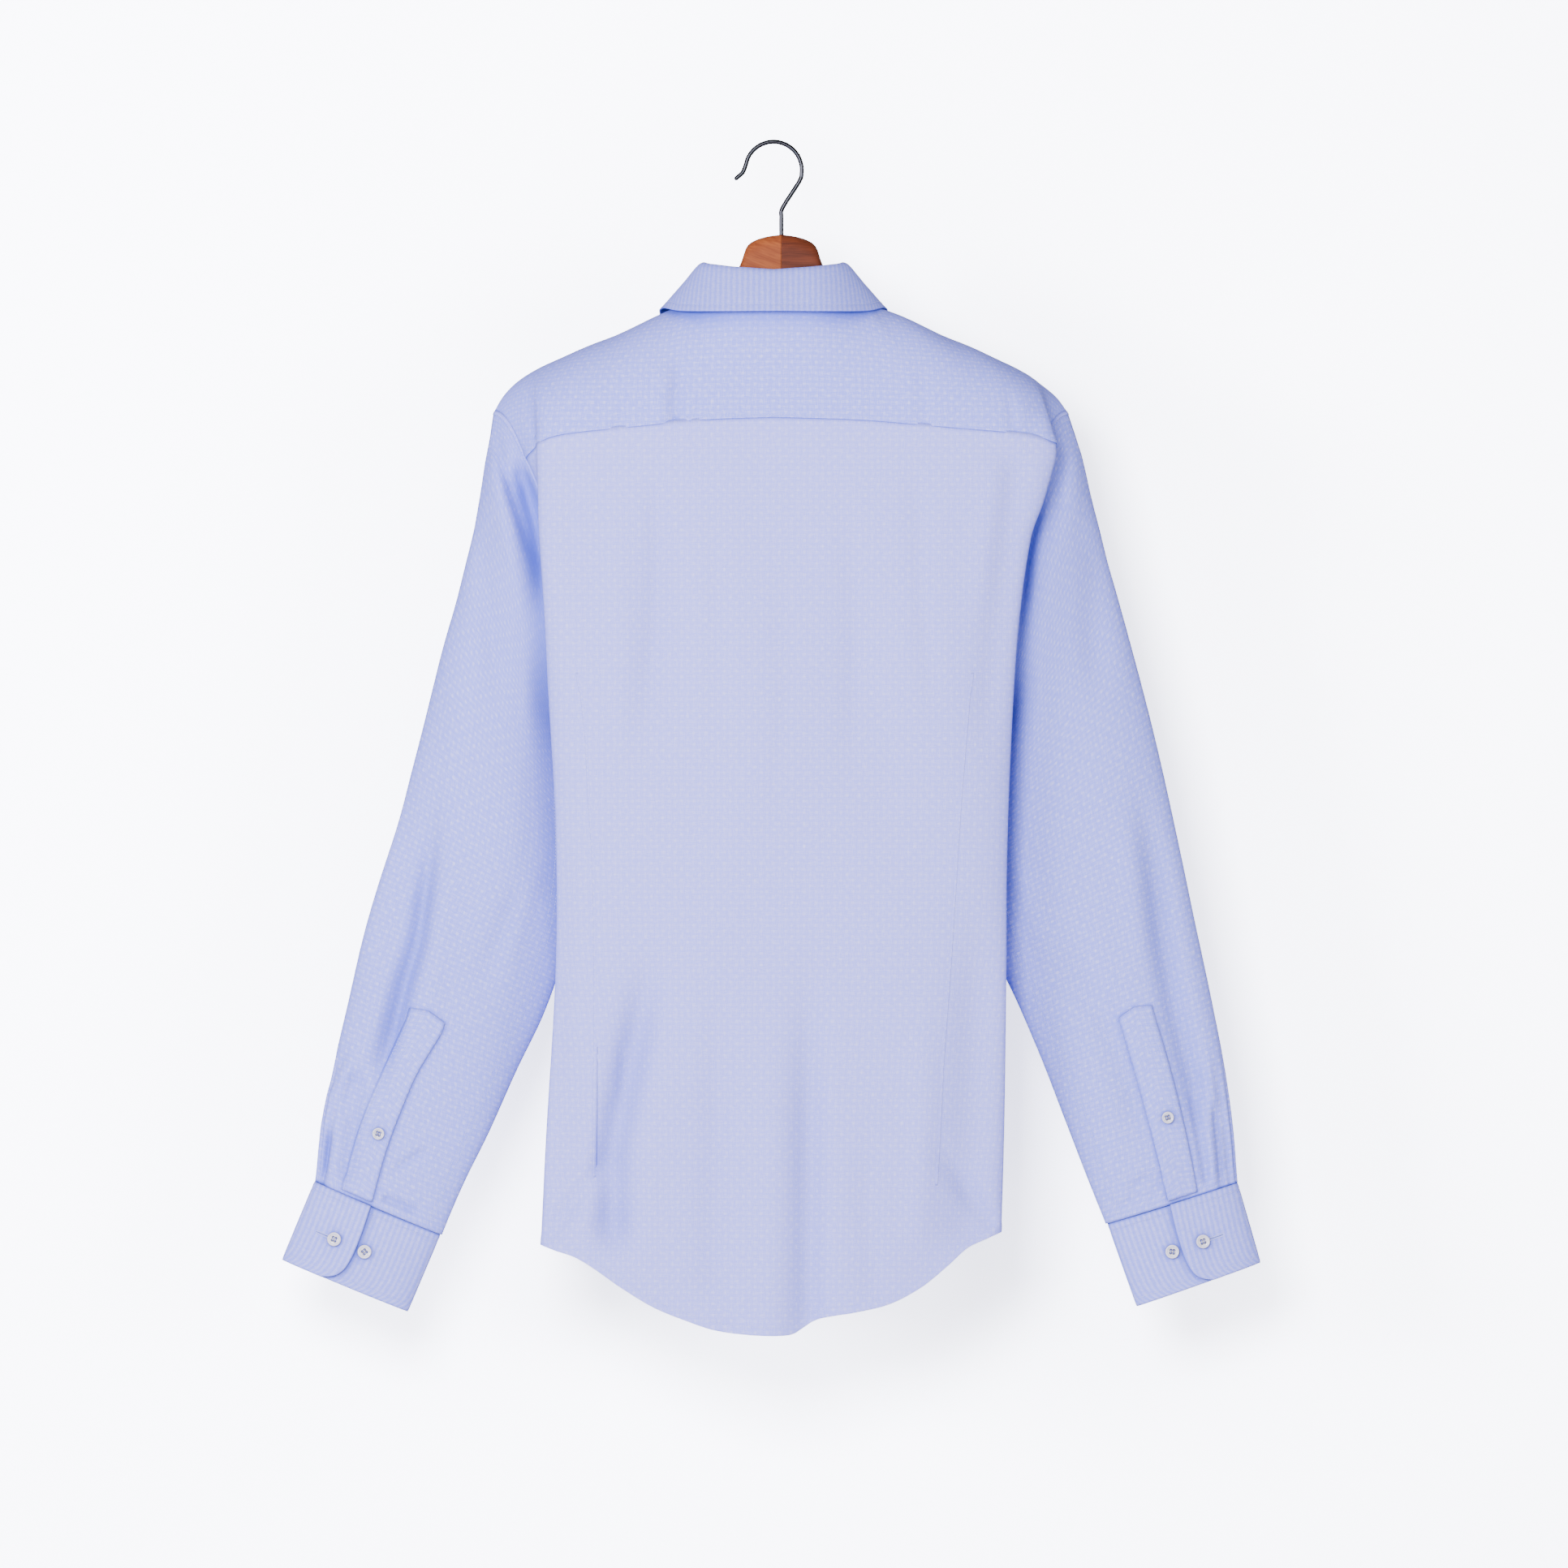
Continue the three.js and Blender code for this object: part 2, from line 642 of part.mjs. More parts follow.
// Collar stand and leaf, from the left end round the back of the neck to the right end.
const STAND_STEPS = [8, 7, 6.25, 5.5, 4.75, 4, 11 / 3, 10 / 3, 3, 2.25, 1.5, 0.75, 0];
const LEAF_STEPS = [LEAF_END_STEP, 6.25, 5.5, 4.75, 4, 3.5, 3, 2.5, 2, 1.5, 0.75, 0];
const STAND_ROWS = 2;
function roundNeck(steps, index) {
  const half = steps.length - 1;
  const side = index <= half ? left : right;
  return { side, step: steps[index <= half ? index : 2 * half - index] };
}
const TAB_DROP = 13;
function standPoint(side, step, rise) {
  const top = collarPoint(step, 'top');
  top.z -= TAB_DROP * THREE.MathUtils.smoothstep(step, 6.9, LAP_STEP);
  return lapped(side, neckline(side, step).lerp(top, rise));
}
const stand = new Surface().grid(STAND_ROWS, 2 * (STAND_STEPS.length - 1), (r, c) => {
  const { side, step } = roundNeck(STAND_STEPS, c);
  return mirrored(side, standPoint(side, step, r / STAND_ROWS));
}, false);

// The leaf rises from the stand, rolls over outwards and comes down to its edge.
const LEAF_PROFILE = table(['share', 'up', 'out'], [
  [0, 0.7, 0],
  [0, 2.6, 0.8],
  [0, 3.4, 2.8],
  [0.06, 2.2, 4.8],
  [0.36, 0.6, 3.6],
  [0.68, 0.2, 2],
  [1, 0, 0],
]);
function leafPoint(side, step, row) {
  const top = standPoint(side, step, 1);
  const base = neckline(side, step);
  const edge = collarPoint(step, 'edge');
  const up = top.clone().sub(base).normalize();
  const out = edge.clone().sub(top).setZ(0).normalize();
  const { share, up: rise, out: away } = LEAF_PROFILE[row];
  return top.lerp(edge, share).addScaledVector(up, rise).addScaledVector(out, away);
}
const leaf = new Surface().grid(LEAF_PROFILE.length - 1, 2 * (LEAF_STEPS.length - 1), (r, c) => {
  const { side, step } = roundNeck(LEAF_STEPS, c);
  return mirrored(side, leafPoint(side, step, r));
}, false);

// Cuffs: a strip that winds once round and laps over itself on the back of the sleeve.
const CUFF_ENDS = {
  left: { outer: [[351.1, -793.15], [376, -853]], inner: [[254.1, -834.15], [279, -893]] },
  right: { outer: [[355, -794.15], [372.5, -855]], inner: [[254.6, -825.65], [277, -889]] },
};
const CUFF_COLUMNS = 24;
const CUFF_UNDER_TURN = 50;
const CUFF_FREE_TURN = 444;
// How far the free end reaches, as a turn, from the top of the cuff to its rounded lower corner.
const CUFF_FREE_END = table(['down', 'turn'], [
  [0, CUFF_FREE_TURN],
  [0.4, 446],
  [0.75, 445],
  [0.92, 439],
  [1, 428],
]);
function cuffPoint(side, down, column) {
  const { outer, inner } = CUFF_ENDS[side.name];
  const along = (line) => ({ x: mix(line[0][0], line[1][0], down), z: mix(line[0][1], line[1][1], down) });
  const share = column / CUFF_COLUMNS;
  const turn = mix(CUFF_UNDER_TURN, read(CUFF_FREE_END, 'down', down, 'turn'), share);
  const inside = CUFF_SPIRAL * (1 - (turn - CUFF_UNDER_TURN) / (CUFF_FREE_TURN - CUFF_UNDER_TURN));
  const a = along(outer);
  const b = along(inner);
  const across = point(a.x - b.x, 0, a.z - b.z).normalize().multiplyScalar(inside);
  const near = { x: a.x - across.x, z: a.z - across.z };
  const far = { x: b.x + across.x, z: b.z + across.z };
  return ovalPoint(near, far, CUFF_DEPTH + 3 - 2 * inside, CUFF_MID_Y, turn);
}
const CUFF_ROWS = CUFF_FREE_END.length - 1;
const cuffs = [left, right].map((side) => new Surface().grid(CUFF_ROWS, CUFF_COLUMNS, (r, c) => (
  mirrored(side, cuffPoint(side, CUFF_FREE_END[r].down, c))
), side === left));

// Sleeve plackets lie on the back of each sleeve, from a point down to the cuff.
const PLACKET_SLEEVE_ROWS = [13, 14, 15, 16, 17, 17.8];
const PLACKET_STEPS = PLACKET_SLEEVE_ROWS.map((row) => SLEEVE_STEPS * row / SLEEVE_ROWS);
const PLACKET_ROWS = PLACKET_STEPS.length - 1;
const PLACKET_COLUMNS = 4;
const PLACKET_EDGES = {
  left: table(['step', 'near', 'far'], [[7.9, 65, 83], [8.8, 63, 84], [10.93, 57, 87]]),
  right: table(['step', 'near', 'far'], [[7.9, 77, 95], [8.8, 75, 95], [10.93, 62, 93]]),
};
function sleeveSkin(side, step, turn) {
  const list = turns[side.name];
  const tip = loops[side.name].tip;
  let i = 0;
  while (i < tip - 1 && list[i + 1] > turn) {
    i += 1;
  }
  const place = (k) => sleevePoint(side, loops[side.name], list, k, step);
  return place(i).lerp(place(i + 1), (list[i] - turn) / (list[i] - list[i + 1]));
}
const PLACKET_PEAK = 0.22;
const plackets = [left, right].map((side) => new Surface().grid(PLACKET_ROWS, PLACKET_COLUMNS, (r, c) => {
  const edges = PLACKET_EDGES[side.name];
  const step = PLACKET_STEPS[r];
  const across = c / PLACKET_COLUMNS;
  const turn = mix(read(edges, 'step', step, 'far'), read(edges, 'step', step, 'near'), across);
  const peak = r === 0 ? PLACKET_PEAK * (1 - Math.abs(2 * across - 1)) : 0;
  return mirrored(side, sleeveSkin(side, step - peak, turn));
}, side === right));

// Front placket on the edge of the left front.
const frontPlacket = new Surface().grid(TOP_ROW, 2, (r, c) => (
  frontPoint(left, mix(-0.97, 0.68, c / 2), r)
), false);

// Normals shared along every seam, so that neighbouring walls meet in a mitre.
const shared = new Map();
for (const surface of [back, yoke, ...fronts, ...sleeves, stand]) {
  surface.normals(shared);
}
const own = (surface) => surface.normals(new Map());
const trimLift = CLOTH_WALL / 2 + TRIM_WALL / 2 + LAYER_GAP;

const shirt = new THREE.Group();
shirt.add(shell('back', back, CLOTH_WALL, shared));
shirt.add(shell('yoke', yoke, CLOTH_WALL, shared));
shirt.add(shell('front_left', fronts[0], CLOTH_WALL, shared));
shirt.add(shell('front_right', fronts[1], CLOTH_WALL, shared));
shirt.add(shell('sleeve_left', sleeves[0], CLOTH_WALL, shared));
shirt.add(shell('sleeve_right', sleeves[1], CLOTH_WALL, shared));
shirt.add(shell('collar_stand', stand, COLLAR_WALL, shared));
shirt.add(shell('collar_leaf', leaf, COLLAR_WALL, own(leaf)));
shirt.add(shell('cuff_left', cuffs[0], CUFF_WALL, own(cuffs[0])));
shirt.add(shell('cuff_right', cuffs[1], CUFF_WALL, own(cuffs[1])));
shirt.add(shell('sleeve_placket_left', plackets[0], TRIM_WALL, own(plackets[0]), CLOTH, trimLift));
shirt.add(shell('sleeve_placket_right', plackets[1], TRIM_WALL, own(plackets[1]), CLOTH, trimLift));
shirt.add(shell('front_placket', frontPlacket, TRIM_WALL, own(frontPlacket), CLOTH, trimLift));

// Buttons, each a dished disc with a raised rim, facing along the cloth's normal.
function button(name, place, normal, diameter) {
  const r = diameter / 2;
  const h = BUTTON_THICKNESS;
  const outline = [[0, 0], [0.7 * r, 0], [r, 0.45 * h], [0.92 * r, h], [0.68 * r, 0.72 * h], [0, 0.66 * h]];
  const profile = outline.map(([x, y]) => new THREE.Vector2(x, y));
  const mesh = new THREE.Mesh(new THREE.LatheGeometry(profile, 12), new THREE.MeshStandardMaterial(PEARL));
  mesh.name = name;
  mesh.quaternion.setFromUnitVectors(point(0, 1, 0), normal);
  mesh.position.copy(place);
  return mesh;
}
// Seats a button on a skin given as a function of two parameters.
function seated(name, skin, u, v, step, lift, diameter, facing) {
  const place = skin(u, v);
  const across = skin(u + step, v).sub(skin(u - step, v));
  const along = skin(u, v + step).sub(skin(u, v - step));
  const normal = across.cross(along).normalize();
  if (normal.dot(facing) < 0) {
    normal.negate();
  }
  return button(name, place.addScaledVector(normal, lift), normal, diameter);
}
const FORWARD = point(0, -1, 0);
const BACKWARD = point(0, 1, 0);
const FRONT_BUTTON = 11;
const CUFF_BUTTON = 10.8;
const PLACKET_BUTTON = 9.4;
const onPlacket = CLOTH_WALL / 2 + TRIM_WALL + 2 * LAYER_GAP + 0.1;
const frontSkin = (column, row) => frontPoint(left, column, row);
const FRONT_BUTTON_ROWS = [18.63, 16.63, 13, 10.49, 7.98, 5.47];
FRONT_BUTTON_ROWS.forEach((row, i) => {
  shirt.add(seated(`button_front_${i + 1}`, frontSkin, 0.02, row, 0.2, onPlacket, FRONT_BUTTON, FORWARD));
});
const standSkin = (step, rise) => standPoint(left, step, rise);
const onStand = COLLAR_WALL / 2 + LAYER_GAP;
shirt.add(seated('button_collar', standSkin, 7.02, 0.5, 0.1, onStand, FRONT_BUTTON, FORWARD));

// Cuff buttons by how far down the cuff and round it they are; the second sits on the under layer.
const CUFF_BUTTONS = table(['side', 'number', 'down', 'turn'], [
  ['left', 1, 0.5, 415],
  ['left', 2, 0.5, 101],
  ['right', 1, 0.5, 416],
  ['right', 2, 0.5, 101],
]);
for (const { side: name, number, down, turn } of CUFF_BUTTONS) {
  const side = SIDES[name];
  const end = read(CUFF_FREE_END, 'down', down, 'turn');
  const column = CUFF_COLUMNS * (turn - CUFF_UNDER_TURN) / (end - CUFF_UNDER_TURN);
  const skin = (v, u) => mirrored(side, cuffPoint(side, v, u));
  const lift = CUFF_WALL / 2 + LAYER_GAP;
  shirt.add(seated(`button_cuff_${name}_${number}`, skin, down, column, 0.2, lift, CUFF_BUTTON, BACKWARD));
}
const PLACKET_BUTTONS = table(['side', 'step', 'turn'], [['left', 9.75, 71], ['right', 9.45, 83]]);
for (const { side: name, step, turn } of PLACKET_BUTTONS) {
  const side = SIDES[name];
  const skin = (u, v) => mirrored(side, sleeveSkin(side, u, v));
  shirt.add(seated(`button_placket_${name}`, skin, step, turn, 0.3, onPlacket, PLACKET_BUTTON, BACKWARD));
}

// Hanger: two wooden arms that meet under the hook, each lofted through rounded sections.
const ARM = table(['reach', 'drop', 'height', 'depth', 'y'], [
  [0.15, 0, 46, 18, 0],
  [12, 1.2, 45, 18, 0],
  [22, 4, 43, 18, 0],
  [27, 8.5, 40, 18, 0],
  [31, 20, 36, 18, 0.5],
  [40, 37, 31, 18, 0.5],
  [49, 49, 29, 18, 1],
  [58, 55, 28, 18, 1],
]);
const ARM_OUT = table(['reach', 'height', 'depth'], [
  [76, 28, 18],
  [100, 28, 19],
  [130, 27, 20],
  [155, 26, 21],
  [175, 24, 21],
  [186, 20, 19],
  [191, 12, 12],
]);
const ARM_CLEARANCE = CLOTH_WALL / 2 + 2.2;
const ARM_ROUND = 14;
const ARM_SQUARENESS = 0.72;
function armSection(x, top, height, depth, y) {
  const ring = [];
  for (let i = 0; i < ARM_ROUND; i += 1) {
    const a = 2 * Math.PI * i / ARM_ROUND;
    const across = Math.sign(Math.cos(a)) * Math.abs(Math.cos(a)) ** ARM_SQUARENESS;
    const upward = Math.sign(Math.sin(a)) * Math.abs(Math.sin(a)) ** ARM_SQUARENESS;
    ring.push(point(x, y + across * depth / 2, top - height / 2 + upward * height / 2));
  }
  return ring;
}
function armSections(side) {
  const sections = ARM.map((row) => (
    armSection(STEM_X + side.sign * row.reach, WOOD_TOP_Z - row.drop, row.height, row.depth, row.y)
  ));
  for (const row of ARM_OUT) {
    const x = STEM_X + side.sign * row.reach;
    const ridgeZ = read(RIDGE, side.ridge, Math.abs(x), 'z');
    const ridgeY = read(RIDGE, side.ridge, Math.abs(x), 'y');
    const lowered = ARM_CLEARANCE + Math.max(24 - row.height, 0) / 2;
    sections.push(armSection(x, ridgeZ - lowered, row.height, row.depth, ridgeY));
  }
  return sections;
}
function loft(sections, turnedOver) {
  const surface = new Surface();
  const round = sections[0].length;
  surface.grid(sections.length - 1, round, (r, c) => sections[r][c % round], turnedOver);
  for (const [section, flip] of [[sections[0], false], [sections[sections.length - 1], true]]) {
    const middle = section.reduce((sum, p) => sum.add(p), point(0, 0, 0)).divideScalar(round);
    const hub = surface.add(middle);
    for (let i = 0; i < round; i += 1) {
      const ahead = surface.add(section[(i + 1) % round]);
      surface.face(hub, ahead, surface.add(section[i]), flip !== turnedOver);
    }
  }
  return surface;
}

const wasm = await Module();
wasm.setup();
function solidFrom(positions, triangles) {
  const mesh = new wasm.Mesh({
    numProp: 3,
    vertProperties: new Float32Array(positions),
    triVerts: new Uint32Array(triangles),
  });
  return new wasm.Manifold(mesh);
}
function solidOf(surface) {
  const positions = surface.points.flatMap((p) => [p.x, p.y, p.z]);
  return solidFrom(positions, surface.faces.flat());
}
// The hook's stem stands in a hole bored down the joint, half of it in each arm.
const BORE_RADIUS = WIRE_RADIUS + 0.35;
const BORE_DEPTH = 24;
const boreSections = [WOOD_TOP_Z - BORE_DEPTH, WOOD_TOP_Z + 5].map((z) => {
  const ring = [];
  for (let i = 0; i < ARM_ROUND; i += 1) {
    const a = 2 * Math.PI * i / ARM_ROUND;
    ring.push(point(STEM_X + BORE_RADIUS * Math.cos(a), BORE_RADIUS * Math.sin(a), z));
  }
  return ring;
});
const bore = solidOf(loft(boreSections, false));
for (const side of [left, right]) {
  const arm = solidOf(loft(armSections(side), side === right)).subtract(bore).getMesh();
  shirt.add(meshFrom(`hanger_arm_${side.name}`, arm.vertProperties, Array.from(arm.triVerts), WOOD));
}

// Hook: a stem, a slanting run and an arc over the rail, in one wire.
const ARC_CENTRE_Z = WIRE_RADIUS - HOOK_RADIUS;
const hookRoute = [
  point(STEM_X, 0, WOOD_TOP_Z - BORE_DEPTH + 1),
  point(STEM_X, 0, -72),
  point(STEM_X, 0, -56),
  point(-6.6, 0, -49.5),
];
for (let angle = -22; angle <= 170; angle += 16) {
  const a = radians(angle);
  hookRoute.push(point(-HOOK_RADIUS * Math.cos(a), 0, ARC_CENTRE_Z + HOOK_RADIUS * Math.sin(a)));
}
hookRoute.push(point(23.4, 0, -21.5));
hookRoute.push(point(28.2, 0, -26));
const wire = new THREE.Shape().absarc(0, 0, WIRE_RADIUS, 0, 2 * Math.PI);
const hook = new THREE.Mesh(
  new THREE.ExtrudeGeometry(wire, {
    steps: 44,
    curveSegments: 5,
    extrudePath: new THREE.CatmullRomCurve3(hookRoute, false, 'centripetal'),
  }),
  new THREE.MeshStandardMaterial(CHROME),
);
hook.name = 'hook';
shirt.add(hook);

export default shirt;
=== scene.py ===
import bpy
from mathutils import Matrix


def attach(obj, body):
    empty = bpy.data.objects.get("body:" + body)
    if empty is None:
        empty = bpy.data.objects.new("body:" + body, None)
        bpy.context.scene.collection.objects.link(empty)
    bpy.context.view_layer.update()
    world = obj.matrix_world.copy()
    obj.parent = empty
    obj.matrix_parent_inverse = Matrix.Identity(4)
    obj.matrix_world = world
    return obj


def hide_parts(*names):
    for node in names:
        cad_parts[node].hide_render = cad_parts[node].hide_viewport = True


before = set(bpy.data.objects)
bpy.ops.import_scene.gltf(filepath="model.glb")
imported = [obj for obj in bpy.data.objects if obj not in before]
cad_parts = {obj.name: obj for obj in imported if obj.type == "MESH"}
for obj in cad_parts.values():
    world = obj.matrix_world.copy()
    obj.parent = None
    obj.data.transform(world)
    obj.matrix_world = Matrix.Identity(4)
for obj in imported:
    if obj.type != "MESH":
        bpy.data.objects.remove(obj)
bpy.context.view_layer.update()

# %% [markdown]
# # A long sleeve dress shirt on a wooden hanger
#
# The real shirt is cut flat from one light blue cotton: a back, a yoke, two fronts, two sleeves, a
# collar stand and leaf, two cuffs and three plackets. Here each of them is one sheet, laid on the form
# of the CAD solids with the same tables and formulas, only sampled more finely. The CAD could be
# thickened and smoothed instead, but then the folds, hems and edges would have nowhere to go.
#
# All tables are in millimetres. The origin is the underside of the hook's arc, +X is the wearer's left,
# +Y the wearer's back and +Z up.

# %% Tools for numbers and tables
from types import SimpleNamespace

import bpy
import numpy as np
from mathutils import Vector

MM = 0.001


def table(names, rows):
    """A short table as named arrays, one for each column."""
    return dict(zip(names.split(), np.array(rows, float).T))


def read(rows, key, value, column):
    """A smooth curve through one column, read at values of the key column.

    With t the share of the way from row i to i+1 and s the slopes taken across the neighbouring rows:
    v = v_i (1-t)^2 (1+2t) + v_j t^2 (3-2t) + t (1-t) (x_j - x_i) ((1-t) s_i - t s_j).
    """
    x, v = rows[key], rows[column]
    if x[0] > x[-1]:
        x, v = x[::-1], v[::-1]
    slope = np.empty_like(v)
    slope[1:-1] = (v[2:] - v[:-2]) / (x[2:] - x[:-2])
    slope[0] = (v[1] - v[0]) / (x[1] - x[0])
    slope[-1] = (v[-1] - v[-2]) / (x[-1] - x[-2])
    i = np.clip(np.searchsorted(x, value) - 1, 0, len(x) - 2)
    span = x[i + 1] - x[i]
    t = np.clip((value - x[i]) / span, 0, 1)
    ends = v[i] * (1 - t) ** 2 * (1 + 2 * t) + v[i + 1] * t**2 * (3 - 2 * t)
    return ends + t * (1 - t) * span * ((1 - t) * slope[i] - t * slope[i + 1])


def mix(a, b, t):
    """a + (b - a) t"""
    return a + (b - a) * t


def smooth(x, low, high):
    """t^2 (3 - 2t), where t is the share of the way from low to high."""
    t = np.clip((x - low) / (high - low), 0, 1)
    return t * t * (3 - 2 * t)


def stack(x, y, z):
    """Points from three arrays."""
    return np.stack(np.broadcast_arrays(x, y, z), -1).astype(float)


def unit(v):
    """v / |v|"""
    return v / np.maximum(np.linalg.norm(v, axis=-1, keepdims=True), 1e-9)


# %% [markdown]
# ## The pattern
#
# These are the measurements that the solids were drawn from: where the body folds over at each side, how
# far its middle stands out, the hem, the yoke seam, the neckline with the collar, the shoulder line and
# the outline of each sleeve. Left and right differ, because a hanging shirt never hangs evenly.

# %% Tables of the body
LAP_WIDTH, LAP_SHIFT = 17.5, 1.1
ARMPIT_Z, ARMPIT_X = -420.0, 146.0
ARMHOLE_TOP_Z, ARMHOLE_MID_Y, ARMHOLE_HALF_DEPTH = -205.0, -12.0, 34.0
BACK_SCOOP, FRONT_SCOOP = 19.0, 26.0
BACK_CORNER_TURN, FRONT_CORNER_TURN, FLAP_ARCH = 48.0, 45.0, 65.0
SIDE_SEAM_Y, SIDE_HEM_Z, HEM_REACH, FLAT_BACK = -12.0, -812.0, 176.0, 2.4
FOLD, END, NECK, LOW, TOP = 9, 13, 4, 13, 20

BODY = "z fold fold_y front_fold front_fold_y"
LEFT_BODY = table(BODY, [
    [-225, 180, 31, 188, -44], [-240, 180, 32, 186, -46], [-265, 179, 34, 180, -51],
    [-290, 178.5, 36, 177, -55], [-361, 174, 38, 173, -58], [-420, 171, 36, 170, -56],
    [-523, 165.5, 33, 164, -50], [-628, 165.5, 31, 163, -46], [-758, 173, 27, 170, -43],
    [-840, 177, 25, 174, -41],
])
RIGHT_BODY = table(BODY, [
    [-240, 215, 31, 206, -44], [-275, 205, 34, 197, -53], [-300, 196, 36, 189, -58],
    [-361, 187, 38, 182, -61], [-428, 182, 36, 178, -58], [-542, 177.5, 33, 174, -50],
    [-629, 177, 31, 173, -46], [-750, 175.5, 27, 172, -43], [-840, 173, 25, 171, -41],
])
MIDDLE = table("z back front", [
    [-200, 51, -65], [-260, 56, -74], [-340, 60, -82], [-430, 61, -83], [-520, 57, -77],
    [-620, 53, -70], [-720, 50, -66], [-820, 49, -64], [-910, 51, -64],
])
SIDE_SEAM = table("z x", [
    [-420, ARMPIT_X], [-432, 134], [-448, 126], [-470, 121], [-500, 119],
    [-560, 121], [-620, 130], [-680, 138], [-750, 143], [SIDE_HEM_Z, 146],
])
HEM = table("x left right front", [
    [0, -908, -908, -886], [14, -907.6, -907, -885.8], [22, -907, -902.5, -885.4],
    [32, -906, -896.5, -885], [46, -903.5, -893, -883], [60, -899, -891, -880], [90, -887, -884, -868],
    [115, -872, -871, -853], [135, -858, -855, -840], [150, -849, -842, -832],
    [165, -844, -835, -826], [178, -839, -829, -823],
])
YOKE_SEAM = table("out z", [
    [0, -209.5], [0.25, -211.5], [0.5, -216.5], [0.7, -220], [0.87, -223.5], [1, -229],
])
RIDGE = table("left right y z", [
    [62, 62, 2, -121], [84, 90, 1, -130], [116, 122, -2, -145], [140, 145, -4, -154],
    [161, 165, -6, -163], [181, 185, -9, -172], [196.5, 202, -10.5, -182],
    [207, 216, -11.5, -193], [214, 225, ARMHOLE_MID_Y, ARMHOLE_TOP_Z],
])
FRONT_YOKE = table("out x y z", [
    [0, 58, -25, -139], [0.28, 112, -37, -168], [0.55, 166, -43, -199],
    [0.8, 185, -41, -220], [1, 188, -36, -236],
])

# %% Tables of the collar, the sleeves and the two sides
COLLAR = table("step base_x base_y base_z top_x top_y top_z edge_x edge_y edge_z", [
    [0, 0, 47, -121, 0, 30, -100.5, 0, 56, -130], [1, 33, 42, -120.5, 28, 27, -98.5, 42, 50, -130],
    [2, 55, 24, -120, 47, 15, -96, 71, 31, -129], [3, 62, 2, -121, 53, -1, -95, 85, 5, -126],
    [4, 58, -25, -139, 50.5, -21, -106, 86, -23, -133],
    [5, 46, -42, -160, 39, -38, -129, 79, -48, -160],
    [6, 23, -55, -180, 19, -50, -149, 67, -65, -193], [7, 0, -59, -187, 0, -54, -156, 53, -76, -216],
    [8, -LAP_WIDTH, -56.2, -182, -LAP_WIDTH, -50.6, -150, 45, -78, -222],
])
NECK_POINT_STEP, FRONT_SEAM_STEP, FRONT_STEP, LAP_STEP, LEAF_END_STEP = 3, 4, 7, 8, 6.85
SLEEVE = "step outer_x outer_z inner_x inner_z depth mid_y"
LEFT_SLEEVE = table(SLEEVE, [
    [0, 214, -205, ARMPIT_X, -420, 68, -12], [1, 218.5, -235, 165, -428, 62, -12],
    [2, 226.7, -280, 163, -447, 57, -13], [3, 241.5, -345, 158, -479, 54, -14],
    [4, 258.5, -410, 155, -516, 53, -15], [5, 276, -475, 152, -560, 51, -15],
    [6, 295.5, -540, 159, -611, 49, -15], [7, 312.5, -600, 175, -662, 45, -15],
    [8, 325, -655, 197, -709, 40, -15], [9, 336.5, -705, 217, -753, 35, -14],
    [10, 346, -750, 237, -794, 30, -14], [11, 351, -793, 254, -834, 26, -14],
])
RIGHT_SLEEVE = table(SLEEVE, [
    [0, 225, -205, ARMPIT_X, -420, 68, -12], [1, 234.5, -235, 171, -428, 62, -12],
    [2, 245.5, -280, 172, -447, 57, -13], [3, 263.5, -345, 162, -479, 54, -14],
    [4, 281, -410, 157, -514, 53, -15], [5, 297, -475, 155, -557, 51, -15],
    [6, 311.5, -540, 164, -607, 49, -15], [7, 323.5, -600, 187, -657, 45, -15],
    [8, 335, -655, 207, -703, 40, -15], [9, 345, -705, 223.5, -746, 35, -14],
    [10, 351.5, -750, 239, -787, 30, -14], [11, 355, -794, 254.5, -825.5, 26, -14],
])
left = SimpleNamespace(sign=1, name="left", body=LEFT_BODY, sleeve=LEFT_SLEEVE, tip_x=214, lap=-LAP_SHIFT)
right = SimpleNamespace(sign=-1, name="right", body=RIGHT_BODY, sleeve=RIGHT_SLEEVE, tip_x=225, lap=LAP_SHIFT)
